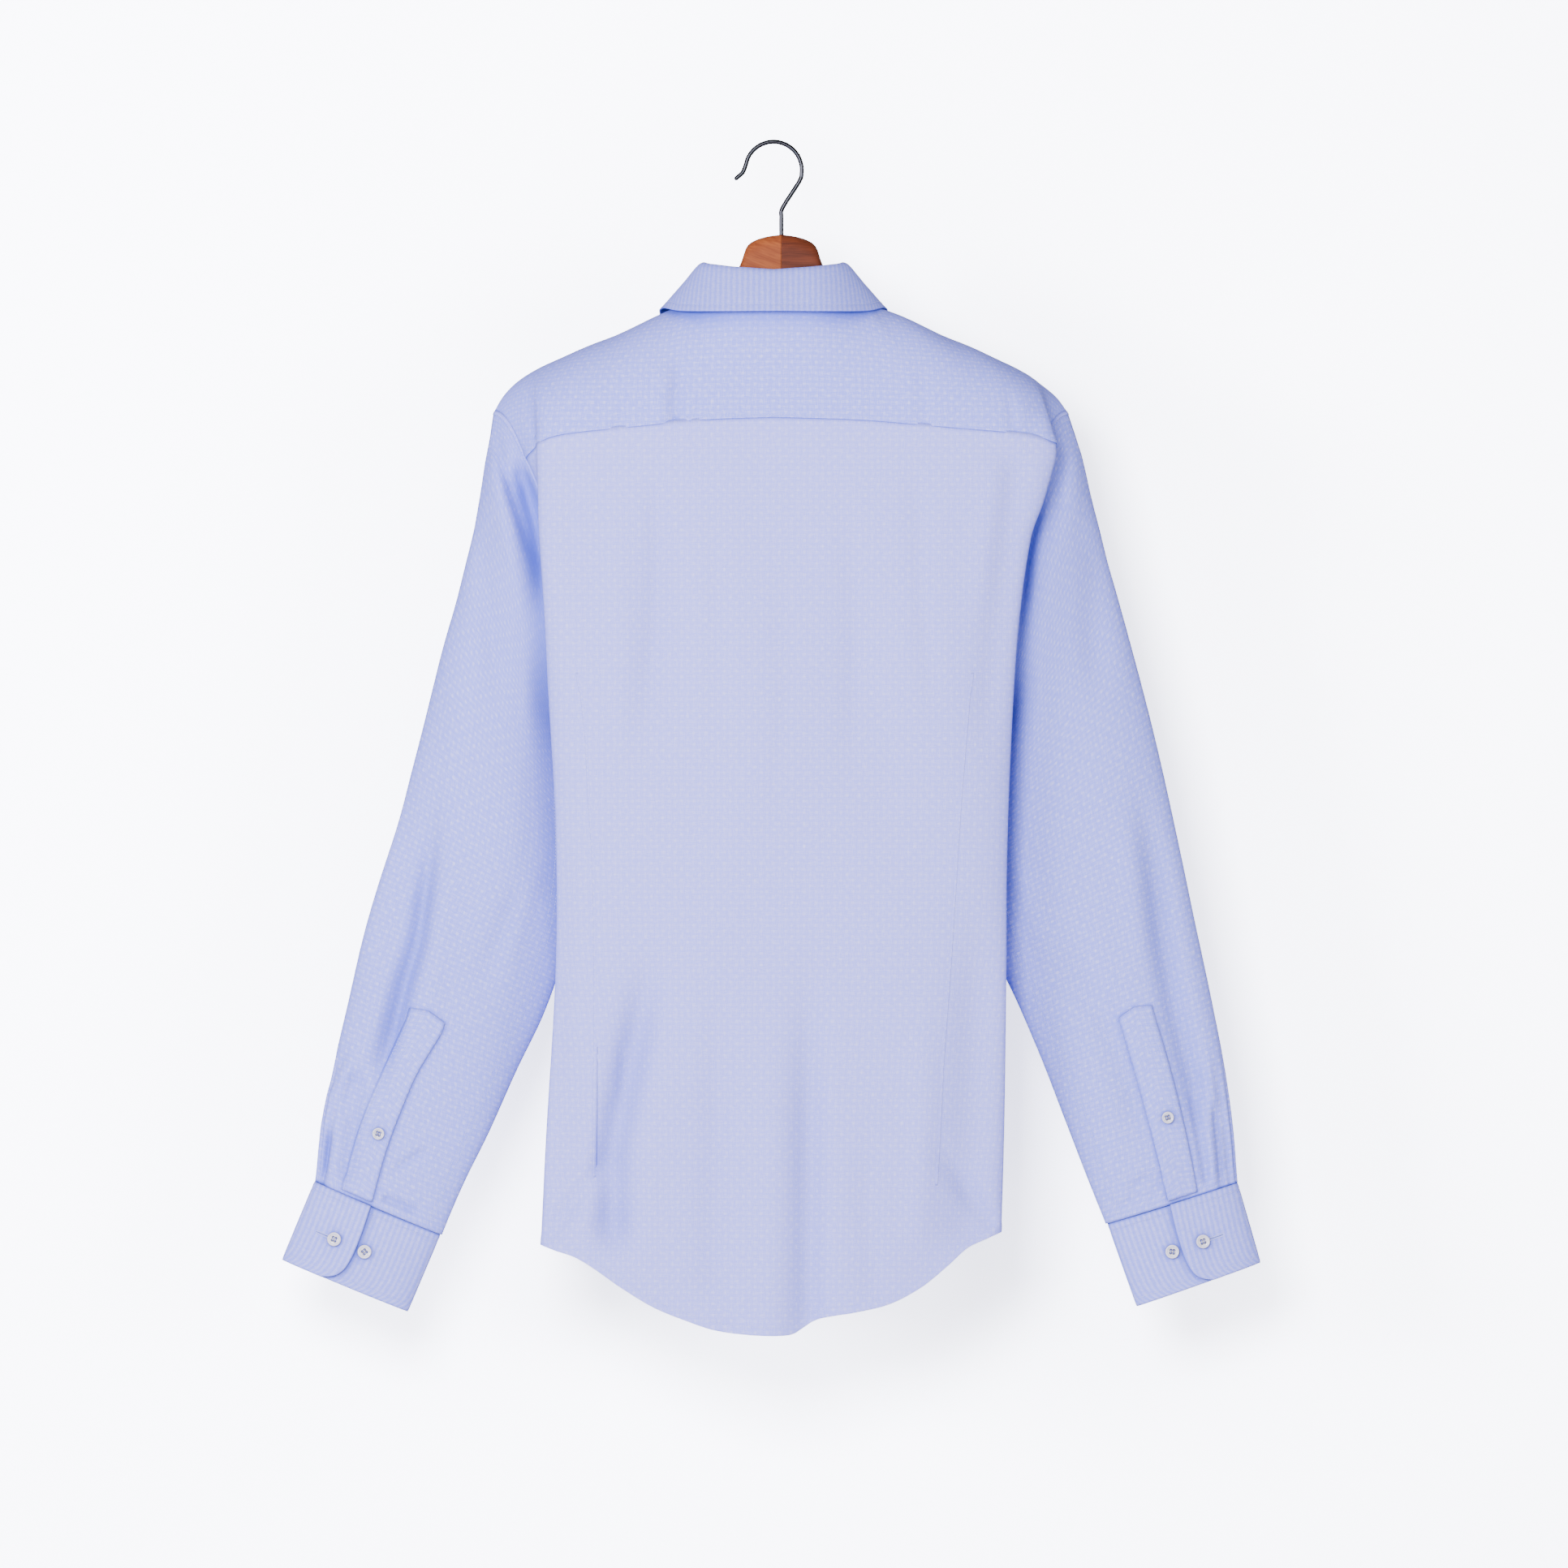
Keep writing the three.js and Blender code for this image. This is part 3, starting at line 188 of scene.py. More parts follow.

# %% [markdown]
# ## Folds
#
# Cloth that hangs keeps soft troughs and ridges, and a pressed shirt has faint creases from its folding.
# Each one here is a line on the picture plane with a width and a depth, read off the photo. The front and
# the far sides have lines of the same kind. A simulation could make folds too, but not these ones.

# %% Tables of the folds, and how they press the cloth
# Each row: width, depth (minus is a ridge), taper at the start and at the end, then the line's points.
BACK_FOLDS = [
    (12, 6.0, 0.5, 0, [(-28, -590), (-27, -758), (-27, -908)]),
    (17, -4.5, 0.5, 0, [(4, -640), (0, -789), (4, -910)]),
    (13, 3.0, 0.4, 0.1, [(46, -620), (43, -758), (46, -890)]),
    (14, 12.0, 0.4, 0.15, [(88, -600), (108, -700), (122, -765), (122, -858)]),
    (12, 2.6, 0.4, 0.3, [(150, -680), (154, -750), (158, -838)]),
    (18, 5.4, 0.4, 0.1, [(-156, -560), (-152, -700), (-146, -850)]),
    (12, -2.4, 0.4, 0.2, [(-112, -640), (-114, -740), (-108, -860)]),
    (30, -2.6, 0.5, 0.5, [(62, -560), (58, -680), (64, -800)]),
    (9, 1.5, 0.4, 0.1, [(-72, -735), (-70, -810), (-76, -886)]),
    (13, 2.6, 0.1, 0.3, [(-186, -229), (-182, -262), (-175, -320), (-166, -400), (-158, -490)]),
    (10, -1.4, 0.2, 0.4, [(-171, -236), (-164, -300), (-155, -380)]),
    (12, 2.2, 0.2, 0.5, [(152, -240), (150, -330), (147, -440)]),
    (8, 3.4, 0.1, 0.6, [(174, -838), (152, -806), (126, -772), (104, -752)]),
    (8, 3.2, 0.1, 0.6, [(-170, -828), (-150, -802), (-128, -770), (-112, -744)]),
    (3.2, 0.7, 0.3, 0.3, [(-76, -615), (-124, -616)]),
    (3.2, 0.5, 0.3, 0.3, [(-98, -678), (-128, -679)]),
    (3.2, 0.7, 0.3, 0.3, [(-54, -727), (-92, -729), (-129, -727)]),
    (3.0, 0.5, 0.3, 0.3, [(-8, -693), (-28, -694)]),
    (2.6, 0.9, 0.1, 0.1, [(135, -690), (115, -690), (115, -733), (135, -733)]),
    (22, 3.6, 0.4, 0.4, [(85, -240), (82, -360), (100, -500)]),
    (24, 2.4, 0.4, 0.4, [(-78, -270), (-70, -400), (-92, -560)]),
    (30, -2.4, 0.4, 0.4, [(20, -330), (14, -460), (24, -590)]),
    (9, 2.0, 0.2, 0.5, [(90, -232), (87, -320), (94, -430), (98, -500)]),
    (8, 1.3, 0.3, 0.5, [(46, -250), (42, -380), (50, -520)]),
    (8, 1.0, 0.4, 0.4, [(-4, -280), (-8, -420), (0, -540)]),
    (9, 1.5, 0.3, 0.5, [(-56, -250), (-62, -380), (-56, -540)]),
    (8, 1.4, 0.2, 0.4, [(-108, -240), (-112, -340), (-122, -460)]),
    (10, -1.4, 0.4, 0.4, [(118, -260), (116, -380), (120, -520)]),
    (10, 2.2, 0.3, 0.2, [(162, -470), (160, -600), (166, -760), (170, -835)]),
]
FRONT_FOLDS = [
    (16, 5.0, 0.5, 0, [(62, -600), (58, -740), (52, -884)]),
    (14, -3.0, 0.5, 0, [(84, -640), (86, -760), (90, -872)]),
    (13, 4.0, 0.5, 0.1, [(-66, -620), (-72, -740), (-80, -878)]),
    (15, -2.6, 0.4, 0.1, [(-104, -560), (-112, -700), (-118, -850)]),
    (12, 3.4, 0.1, 0.5, [(150, -250), (146, -330), (138, -430)]),
    (12, 3.0, 0.1, 0.5, [(-158, -262), (-150, -350), (-146, -440)]),
    (9, 1.8, 0.1, 0.6, [(168, -824), (150, -792), (124, -760)]),
    (9, 1.8, 0.1, 0.6, [(-166, -822), (-146, -796), (-122, -762)]),
    (3.2, 0.45, 0.3, 0.3, [(40, -545), (128, -547)]),
    (3.2, 0.45, 0.3, 0.3, [(-36, -545), (-122, -546)]),
    (22, 1.4, 0.4, 0.4, [(96, -300), (88, -420), (104, -520)]),
]
YOKE_FOLDS = [
    (6, 2.8, 0.6, 0.0, [(70, -150), (73, -190), (75, -218)]),
    (9, -1.2, 0.3, 0.1, [(84, -164), (85, -216)]),
    (5, 1.2, 0.6, 0.0, [(114, -170), (118, -221)]),
    (3.6, 0.8, 0.4, 0.0, [(58, -190), (59, -216)]),
    (5, 1.0, 0.6, 0.0, [(-111, -160), (-115, -221)]),
    (5, 1.2, 0.6, 0.0, [(-178, -180), (-183, -227)]),
    (7, 5.0, 0.3, 0.0, [(203, -184), (194, -203), (186, -226)]),
    (8, -1.6, 0.3, 0.1, [(186, -176), (176, -200), (170, -222)]),
    (9, 1.4, 0.3, 0.1, [(-205, -192), (-198, -208), (-194, -228)]),
]
# The hollow of each sleeve beside the body, where it hangs behind the body's fold.
LEFT_HOLLOW = [
    (9, 14.0, 0.25, 0.5, [(199, -236), (189, -262), (181, -293), (176, -324), (174, -375)]),
]
RIGHT_HOLLOW = [
    (8, 9.0, 0.35, 0.5, [(-209, -240), (-201, -275), (-193, -310), (-187, -361), (-184, -410)]),
]
LEFT_SLEEVE_FOLDS = [
    (4, 3.0, 0.15, 0.3, [(214, -214), (209, -236), (202, -262), (192, -292), (184, -322)]),
    (8, -4.0, 0.15, 0.5, [(219, -222), (214, -250), (206, -285), (196, -335), (190, -380)]),
    (9, 3.0, 0.2, 0.4, [(228, -262), (222, -320), (213, -390), (208, -450)]),
    (16, -2.6, 0.3, 0.4, [(242, -340), (238, -430), (240, -520)]),
    (9, 11.0, 0.4, 0.3, [(258, -480), (265, -550), (273, -609), (283, -640), (300, -706), (304, -750)]),
    (12, -2.2, 0.3, 0.3, [(250, -540), (258, -620), (270, -690)]),
    (15, 6.0, 0.4, 0.3, [(274, -470), (282, -550), (292, -609), (302, -650)]),
    (8, 4.4, 0.3, 0.1, [(313, -690), (319, -724), (324, -772), (329, -796)]),
    (5, 2.2, 0.3, 0.3, [(326, -690), (335, -708), (340, -728)]),
    (5, 2.0, 0.3, 0.3, [(316, -704), (327, -724), (331, -748)]),
    (5, -1.8, 0.3, 0.3, [(324, -698), (332, -716), (336, -738)]),
    (12, 3.0, 0.3, 0.4, [(190, -560), (208, -610), (232, -660)]),
    (8, -1.6, 0.3, 0.4, [(178, -540), (196, -600), (216, -650)]),
    (4, 4.0, 0.3, 0.0, [(340, -748), (344, -772), (348, -797)]),
    (3.4, 2.0, 0.3, 0.2, [(294, -787), (274, -774), (262, -768)]),
    (3.2, 3.2, 0.1, 0.3, [(300, -805), (284, -811), (267, -819)]),
]
RIGHT_SLEEVE_FOLDS = [
    (6, 2.4, 0.1, 0.4, [(-221, -222), (-217, -256), (-209, -300), (-202, -350)]),
    (8, -2.0, 0.1, 0.4, [(-233, -230), (-229, -270), (-221, -320)]),
    (13, 3.6, 0.2, 0.4, [(-246, -290), (-244, -370), (-250, -440)]),
    (11, 7.5, 0.4, 0.2, [(-276, -470), (-292, -559), (-298, -608), (-309, -667), (-322, -717), (-329, -770)]),
    (13, -2.4, 0.3, 0.3, [(-270, -500), (-278, -580), (-286, -650)]),
    (15, 4.6, 0.3, 0.3, [(-205, -600), (-230, -636), (-252, -664), (-275, -723), (-289, -785)]),
    (8, -1.6, 0.3, 0.4, [(-182, -540), (-202, -600), (-222, -650)]),
    (3.6, 2.6, 0.3, 0.05, [(-319, -717), (-326, -760), (-332, -796)]),
    (3.4, 3.2, 0.2, 0.0, [(-337, -730), (-340, -764), (-343, -799)]),
    (5, -1.6, 0.2, 0.05, [(-331, -690), (-334, -740), (-337, -797)]),
    (4, 1.6, 0.2, 0.2, [(-300, -797), (-286, -790), (-270, -800)]),
    (3.4, 1.4, 0.2, 0.2, [(-296, -806), (-280, -803), (-262, -814)]),
]


def pressed(x, z, folds):
    """Sum over the folds of depth exp(-(d/width)^2), d the distance to the line, tapered at its ends."""
    total = np.zeros(np.broadcast(x, z).shape)
    for width, depth, start, end, points in folds:
        line = np.array(points, float)
        parts = np.linalg.norm(np.diff(line, axis=0), axis=1)
        run = np.concatenate([[0], np.cumsum(parts)]) / parts.sum()
        nearest = np.full(total.shape, 1e9)
        along = np.zeros(total.shape)
        for k, (a, b) in enumerate(zip(line[:-1], line[1:])):
            e = b - a
            t = np.clip(((x - a[0]) * e[0] + (z - a[1]) * e[1]) / (e @ e), 0, 1)
            away = np.hypot(x - a[0] - t * e[0], z - a[1] - t * e[1])
            along = np.where(away < nearest, mix(run[k], run[k + 1], t), along)
            nearest = np.minimum(away, nearest)
        taper = smooth(along, -1e-6, max(start, 1e-6)) * smooth(1 - along, -1e-6, max(end, 1e-6))
        total += depth * np.exp(-((nearest / width) ** 2)) * taper
    return total


def slack(x, z, phase):
    """The slight unevenness of all cloth: three long crossing waves, about half a millimetre deep."""
    waves = np.sin(x / 31 + z / 83 + phase) * np.sin(z / 57 - x / 90 + 2 * phase)
    return 0.45 * waves + 0.25 * np.sin(x / 19 - z / 44 + 3 * phase)


# %% [markdown]
# ## Body panels
#
# Each panel is a function of a column, across it, and a row, up it. The back and the fronts run out to a
# fold at each side and turn in from there, as a gusset, to the side seam. Above the armpit their edge is
# the armhole. The yoke arches from its seam over the shoulder line and comes down on the front.

# %% Functions of the body panels
def armhole_point(side, turn):
    """x and z go from the armpit to the tip with (1 + cos turn) / 2; the sides bulge with sin turn."""
    a = np.radians(turn)
    along = (1 + np.cos(a)) / 2
    bulge = np.abs(np.sin(a))
    scoop = np.where(turn > 0, BACK_SCOOP, FRONT_SCOOP)
    x = mix(ARMPIT_X, side.tip_x, along) - scoop * bulge
    y = ARMHOLE_MID_Y + np.sign(turn) * ARMHOLE_HALF_DEPTH * bulge
    return stack(x, y, mix(ARMPIT_Z, ARMHOLE_TOP_Z, along))


def section(middle_y, fold, fold_y, seam_x, seam_y, column):
    """A level section: a flattened arc, y = (1 - x^n)^(1/n), out to the fold, then a curve to the seam."""
    share = np.clip(column, 0, FOLD) / FOLD
    across = 0.5 * share + 0.5 * np.sin(share * np.pi / 2)
    bow = np.maximum(1 - across**FLAT_BACK, 0) ** (1 / FLAT_BACK)
    k = np.clip((column - FOLD) / (END - FOLD), 0, 1)
    drop = fold_y - seam_y
    ends = (1 - k) ** 2 * (1 + 2 * k)
    bend = drop * (1.2 * k**2 * (1 - k) - 0.9 * k * (1 - k) ** 2)
    x = np.where(column > FOLD, mix(seam_x, fold, ends), fold * across)
    y = np.where(column > FOLD, mix(seam_y, fold_y, ends) + bend, fold_y + (middle_y - fold_y) * bow)
    lap = column <= 0
    return np.where(lap, column * LAP_WIDTH, x), np.where(lap, middle_y, y)


def body_section(side, z, seam_x, seam_y, column, on_back):
    """Columns 0 to 13 of the body at height z, on the back or the front."""
    name, middle = ("", "back") if on_back else ("front_", "front")
    fold = read(side.body, "z", z, f"{name}fold")
    fold_y = read(side.body, "z", z, f"{name}fold_y")
    return section(read(MIDDLE, "z", z, middle), fold, fold_y, seam_x, seam_y, column)


def hem_z(side, column, on_back):
    """The hem's height, level again along the gusset."""
    share = np.clip(column, 0, FOLD) / FOLD
    x = HEM_REACH * (0.5 * share + 0.5 * np.sin(share * np.pi / 2))
    k = np.clip((column - FOLD) / (END - FOLD), 0, 1)
    return mix(read(HEM, "x", x, side.name if on_back else "front"), SIDE_HEM_Z, k)


def armhole_row(side, row, corner_turn):
    """The armhole's point beside a row, and how far up the armhole it is."""
    share = np.clip((row - LOW) / (TOP - LOW), 0, None)
    edge = armhole_point(side, mix(180, abs(corner_turn), share) * np.sign(corner_turn))
    corner = armhole_point(side, corner_turn)
    return edge, (edge[..., 2] - ARMPIT_Z) / (corner[2] - ARMPIT_Z)


def yoke_seam_z(side, column):
    """The yoke seam's height."""
    k = np.clip((column - FOLD) / (END - FOLD), 0, 1)
    low = read(YOKE_SEAM, "out", np.clip(column, 0, FOLD) / FOLD, "z")
    return mix(low, armhole_point(side, BACK_CORNER_TURN)[2], k)


def back_form(side, column, row):
    """The back without its folds."""
    edge, rise = armhole_row(side, row, BACK_CORNER_TURN)
    low_z = mix(hem_z(side, column, True), ARMPIT_Z, row / LOW)
    high_z = mix(ARMPIT_Z, yoke_seam_z(side, column), rise)
    below = row <= LOW
    z = np.where(below, low_z, high_z)
    seam_x = np.where(below, read(SIDE_SEAM, "z", low_z, "x"), edge[..., 0])
    seam_y = np.where(below, SIDE_SEAM_Y, edge[..., 1])
    x, y = body_section(side, z, seam_x, seam_y, column, True)
    return stack(x, y, z)


def back_point(side, column, row):
    """The back, pressed in by its folds, which fade out along the gusset."""
    p = back_form(side, column, row)
    x = side.sign * p[..., 0]
    near = 1 - smooth(column, FOLD - 0.6, FOLD + 1.2)
    calm = smooth(TOP - row, 0, 0.5)
    depth = pressed(x, p[..., 2], BACK_FOLDS) + slack(x, p[..., 2], 0.4) * calm
    p[..., 1] -= depth * near * mix(0.6, 1, calm)
    return p


def collar_point(step, part):
    """A place on the neckline (base), the stand's upper edge (top) or the leaf's outer edge (edge)."""
    return stack(*(read(COLLAR, "step", step, f"{part}_{axis}") for axis in "xyz"))


def lapped(side, p):
    """The left edge lies over the right one where the fronts meet."""
    near = 1 - smooth(p[..., 0], 20, 50)
    p[..., 1] += side.lap * near * (p[..., 1] < -40)
    return p


def yoke_top(side, column):
    """The neckline, then the shoulder line out to the tip."""
    knee = 0.8
    share = np.where(
        column <= FOLD,
        knee * (column - NECK) / (FOLD - NECK),
        mix(knee, 1, (column - FOLD) / (END - FOLD)),
    )
    x = mix(RIDGE[side.name][0], side.tip_x, np.clip(share, 0, 1))
    ridge = stack(x, read(RIDGE, side.name, x, "y"), read(RIDGE, side.name, x, "z"))
    neck = collar_point(NECK_POINT_STEP * np.minimum(column, NECK) / NECK, "base")
    return np.where((column <= NECK)[..., None], neck, ridge)


def yoke_point(side, column, rise):
    """A quarter arch from the back's upper edge to the top: y with 1 - cos, z with sin of the rise."""
    low = back_form(side, column, np.full(np.shape(column), float(TOP)))
    top = yoke_top(side, column)
    arch = np.clip(column / NECK, 0, 1)
    turn = rise * np.pi / 2
    inward = mix(rise, 1 - np.cos(turn), arch)
    upward = mix(rise, np.sin(turn), arch)
    x = mix(low[..., 0], top[..., 0], rise)
    y = mix(low[..., 1], top[..., 1], inward)
    z = mix(low[..., 2], top[..., 2], upward)
    depth = pressed(side.sign * x, z, YOKE_FOLDS) * (1 - smooth(column, FOLD, FOLD + 2))
    depth = depth * (1 - smooth(rise, 0.75, 1))
    return stack(x, y - depth * np.cos(turn), z - depth * np.sin(turn))


def front_seam(side, column):
    """The front yoke seam, from the neckline out to the armhole."""
    out = np.clip((column - NECK) / (END - NECK), 0, 1)
    corner = armhole_point(side, -FRONT_CORNER_TURN)
    end = np.array([FRONT_YOKE[axis][-1] for axis in "xyz"])
    line = stack(*(read(FRONT_YOKE, "out", out, axis) for axis in "xyz"))
    return line + (out**2)[..., None] * (corner - end)


def flap_point(side, column, drop):
    """The front of the yoke, an arch from the shoulder line down to its seam."""
    top = yoke_top(side, column)
    low = front_seam(side, column)
    full = np.radians(FLAP_ARCH)
    forward = np.sin(drop * full) / np.sin(full)
    downward = (1 - np.cos(drop * full)) / (1 - np.cos(full))
    x = mix(top[..., 0], low[..., 0], drop)
    return stack(x, mix(top[..., 1], low[..., 1], forward), mix(top[..., 2], low[..., 2], downward))


def neckline(side, step):
    """The neck seam. Between the shoulder line and the front yoke seam it is the flap's own edge."""
    flap = flap_point(side, np.full(np.shape(step), float(NECK)), np.clip(step - NECK_POINT_STEP, 0, 1))
    on_flap = (step > NECK_POINT_STEP) & (step < FRONT_SEAM_STEP)
    return np.where(on_flap[..., None], flap, collar_point(step, "base"))


def front_form(side, column, row):
    """A front without its folds. Above the armpit it bends in to the neckline and the front yoke seam."""
    edge, rise = armhole_row(side, row, -FRONT_CORNER_TURN)
    span = (FRONT_STEP - FRONT_SEAM_STEP) / NECK
    step = np.where(column < 0, mix(FRONT_STEP, LAP_STEP, -column), FRONT_STEP - span * column)
    neck = neckline(side, np.clip(step, FRONT_SEAM_STEP, LAP_STEP))
    top = np.where((column >= NECK)[..., None], front_seam(side, column), neck)
    below = row <= LOW
    low_z = mix(hem_z(side, column, False), ARMPIT_Z, row / LOW)
    z = np.where(below, low_z, mix(ARMPIT_Z, top[..., 2], rise))
    seam_x = np.where(below, read(SIDE_SEAM, "z", low_z, "x"), edge[..., 0])
    seam_y = np.where(below, SIDE_SEAM_Y, edge[..., 1])
    x, y = body_section(side, z, seam_x, seam_y, column, False)
    turn_in = np.where(below, 0, rise**3)
    return stack(mix(x, top[..., 0], turn_in), mix(y, top[..., 1], turn_in), z)


def front_point(side, column, row):
    """A front, pressed back by its folds, with its edge lapped over or under the other one."""
    p = front_form(side, column, row)
    x = side.sign * p[..., 0]
    near = (1 - smooth(column, FOLD - 0.6, FOLD + 1.2)) * smooth(column, 0.8, 2.2)
    calm = smooth(TOP - row, 0, 0.8)
    depth = pressed(x, p[..., 2], FRONT_FOLDS) + slack(x, p[..., 2], 1.7)
    p[..., 1] += depth * near * calm
    return lapped(side, p)


# %% [markdown]
# ## Sleeves
#
# A sleeve is a tube from the armhole to the cuff. Its first ring is the seam edge of the back, the yoke
# and the front. Over the first quarter of its length that ring eases into a flattened oval, slimmer on
# the side of the body. The folds press it inwards, and two pleats by the cuff take in its fullness.

# %% Functions of the sleeves
SLEEVE_STEPS = 11
INNER_SLIMMING = 0.5
RING_PARTS = 5
PLEATS = table("turn width depth", [[27, 7, 2.6], [9, 6, 2.2]])


def armhole_ring(side):
    """The armhole's points, in order from the armpit up the back and down the front, and the tip's index."""
    n = RING_PARTS
    arm, rise, drop = np.arange(7 * n) / n, np.arange(4 * n) / (4 * n), np.arange(3 * n) / (3 * n)
    parts = [
        back_form(side, np.full(len(arm), float(END)), LOW + arm),
        yoke_point(side, np.full(len(rise), float(END)), rise),
        flap_point(side, np.full(len(drop), float(END)), drop),
        front_form(side, np.full(len(arm), float(END)), TOP - arm),
    ]
    return np.concatenate(parts), len(arm) + len(rise)


def ring_turns(ring, tip):
    """Angle round the sleeve of each point, by length: 180 at the armpit and 0 at the tip."""
    gaps = np.linalg.norm(np.roll(ring, -1, axis=0) - ring, axis=1)
    run = np.concatenate([[0], np.cumsum(gaps)])
    up = 180 * (1 - run[:-1] / run[tip])
    down = -180 * (run[:-1] - run[tip]) / (run[-1] - run[tip])
    return np.where(np.arange(len(ring)) <= tip, up, down)


def oval(outer_x, outer_z, inner_x, inner_z, depth, mid_y, turn, slimming=0):
    """A flattened ring between two edges: across = (1 + cos turn) / 2, y = mid + depth / 2 sin turn."""
    a = np.radians(turn)
    across = (1 + np.cos(a)) / 2
    slim = 1 - slimming * (1 - smooth(across, 0, 0.4))
    y = mid_y + depth / 2 * slim * np.sin(a)
    return stack(mix(inner_x, outer_x, across), y, mix(inner_z, outer_z, across))


def sleeve_oval(side, step, turn):
    """The sleeve's oval at a step from the armhole, 0, to the cuff, 11."""
    shape = [read(side.sleeve, "step", step, name) for name in SLEEVE.split()[1:]]
    slimming = INNER_SLIMMING * smooth(step, 0.8, 3) * (1 - step / SLEEVE_STEPS)
    return oval(*shape, turn, slimming)


FAR_DEPTH, FAR_REACH, FAR_DROP = 0.8, 0.985, 14


def lowered(folds):
    """The same folds for the sleeve's far side: shallower, nearer the middle and lower."""
    return [
        (width, FAR_DEPTH * depth, start, end, [(FAR_REACH * x, z - FAR_DROP) for x, z in line])
        for width, depth, start, end, line in folds
    ]


for side, folds, hollow in (
    (left, LEFT_SLEEVE_FOLDS, LEFT_HOLLOW),
    (right, RIGHT_SLEEVE_FOLDS, RIGHT_HOLLOW),
):
    side.folds, side.far_folds, side.hollow = folds, lowered(folds), hollow
    ring, tip = armhole_ring(side)
    turns = ring_turns(ring, tip)
    order = np.argsort(turns)
    side.turn_order = turns[order]
    side.shift_order = (ring - sleeve_oval(side, np.zeros(len(ring)), turns))[order]


def pleats_of(step, around):
    """The two pleats by the cuff: depth exp(-(turn / width)^2), rising towards the cuff."""
    turn, width, depth = (PLEATS[name] for name in ("turn", "width", "depth"))
    rise = smooth(step, 8.2, 10.6) * (1 - 0.5 * smooth(step, 10.6, SLEEVE_STEPS))
    return rise * np.sum(depth * np.exp(-(((around[..., None] - turn) / width) ** 2)), axis=-1)


def sleeve_point(side, step, turn):
    """The oval, held to the armhole ring at first, then pressed in along its own normal.

    The normal of an oval with half axes u and v is (cos(turn) / |u|, sin(turn) / |v|). The folds press the
    back by the lines as they are, and the front by the same lines a little lower, so that the two differ.
    The hollow beside the body presses straight towards the front.
    """
    around = (turn + 180) % 360 - 180
    shift = stack(*(np.interp(around, side.turn_order, side.shift_order[:, k], period=360) for k in range(3)))
    place = sleeve_oval(side, step, turn) + shift * (1 - smooth(step, 0, 2.6))[..., None]
    half_width = (sleeve_oval(side, step, 0 * turn) - sleeve_oval(side, step, 0 * turn + 180)) / 2
    half_depth = read(side.sleeve, "step", step, "depth")[..., None] / 2
    a = np.radians(turn)[..., None]
    square = np.sum(half_width**2, axis=-1, keepdims=True)
    inward = -unit(np.cos(a) * half_width / square + np.sin(a) / half_depth * np.array([0, 1, 0]))
    x, z = side.sign * place[..., 0], place[..., 2]
    facing = smooth(np.sin(np.radians(turn)), -0.25, 0.35)
    calm = smooth(step, 0, 0.5) * (1 - 0.6 * smooth(step, 10.7, SLEEVE_STEPS))
    soft = pressed(x, z, side.folds) * facing + pressed(x, z, side.far_folds) * (1 - facing)
    depth = pleats_of(step, around) + (soft + slack(x, z, 2.3)) * calm
    place = place + inward * depth[..., None]
    hollow = pressed(x, z, side.hollow)
    place[..., 1] -= hollow * smooth(step, 0, 0.35) * smooth(np.sin(np.radians(turn)), 0, 0.6)
    return place


def sleeve_by_turn(side, turn, step):
    """The same place with the turn first, for grids and lines whose first direction is round the sleeve."""
    return sleeve_point(side, step, turn)


print("armhole ring:", len(left.turn_order), "points, turns", left.turn_order[[0, -1]].round(1))

# %% [markdown]
# ## From functions to sheets
#
# A patch is a grid of points with its place on the flat cloth. Patches are welded into one mesh, faced
# outwards and given the thickness of the cloth. The texture map holds real metres of cloth along and
# across the threads, so that the weave keeps its size on every piece.

# %% Tools for meshes
def normals_of(points, outward, wrap=False):
    """Cross product of the grid's two directions, turned to the side that outward points to."""
    if wrap:
        ring = points[:, :-1]
        across = np.roll(ring, -1, axis=1) - np.roll(ring, 1, axis=1)
        across = np.concatenate([across, across[:, :1]], axis=1)
    else:
        across = np.gradient(points, axis=1)
    normal = unit(np.cross(across, np.gradient(points, axis=0)))
    return normal * np.sign(np.sum(normal * outward))


def arc(points, axis):
    """Length along each line of a grid, from its start."""
    gaps = np.linalg.norm(np.diff(points, axis=axis), axis=-1)
    zero = np.zeros_like(np.take(gaps, [0], axis=axis))
    return np.concatenate([zero, np.cumsum(gaps, axis=axis)], axis=axis)


def patch(points, u, v, outward, lift=0.0, wrap=False):
    """A grid of points (mm), its flat place (mm) and the way that it faces; lift moves it outwards."""
    normal = normals_of(points, outward, wrap)
    moved = points + normal * np.broadcast_to(lift, points.shape[:-1])[..., None]
    flat = np.stack(np.broadcast_arrays(u, v), -1)
    return SimpleNamespace(points=moved, flat=flat, normal=normal)


def quads_of(points, normal, first):
    """Quads of a grid whose points are numbered from first, wound to agree with the normals."""
    rows, columns = points.shape[:2]
    ids = first + np.arange(rows * columns).reshape(rows, columns)
    quads = np.stack([ids[:-1, :-1], ids[:-1, 1:], ids[1:, 1:], ids[1:, :-1]], -1).reshape(-1, 4)
    a, b, c = (points[:-1, :-1], points[:-1, 1:], points[1:, 1:])
    agree = np.sum(np.cross(b - a, c - a) * normal[:-1, :-1]) > 0
    return quads if agree else quads[:, ::-1]


def new_mesh(name, points, faces, flat=None):
    """A mesh from arrays of points (mm), faces and, if there is one, a flat place (mm) for each corner."""
    mesh = bpy.data.meshes.new(name)
    mesh.from_pydata((np.asarray(points) * MM).tolist(), [], np.asarray(faces).tolist())
    if flat is not None:
        layer = mesh.uv_layers.new(name="UVMap")
        layer.data.foreach_set("uv", (np.asarray(flat, np.float32) * np.float32(MM)).ravel())
    mesh.validate()
    mesh.shade_smooth()
    return mesh


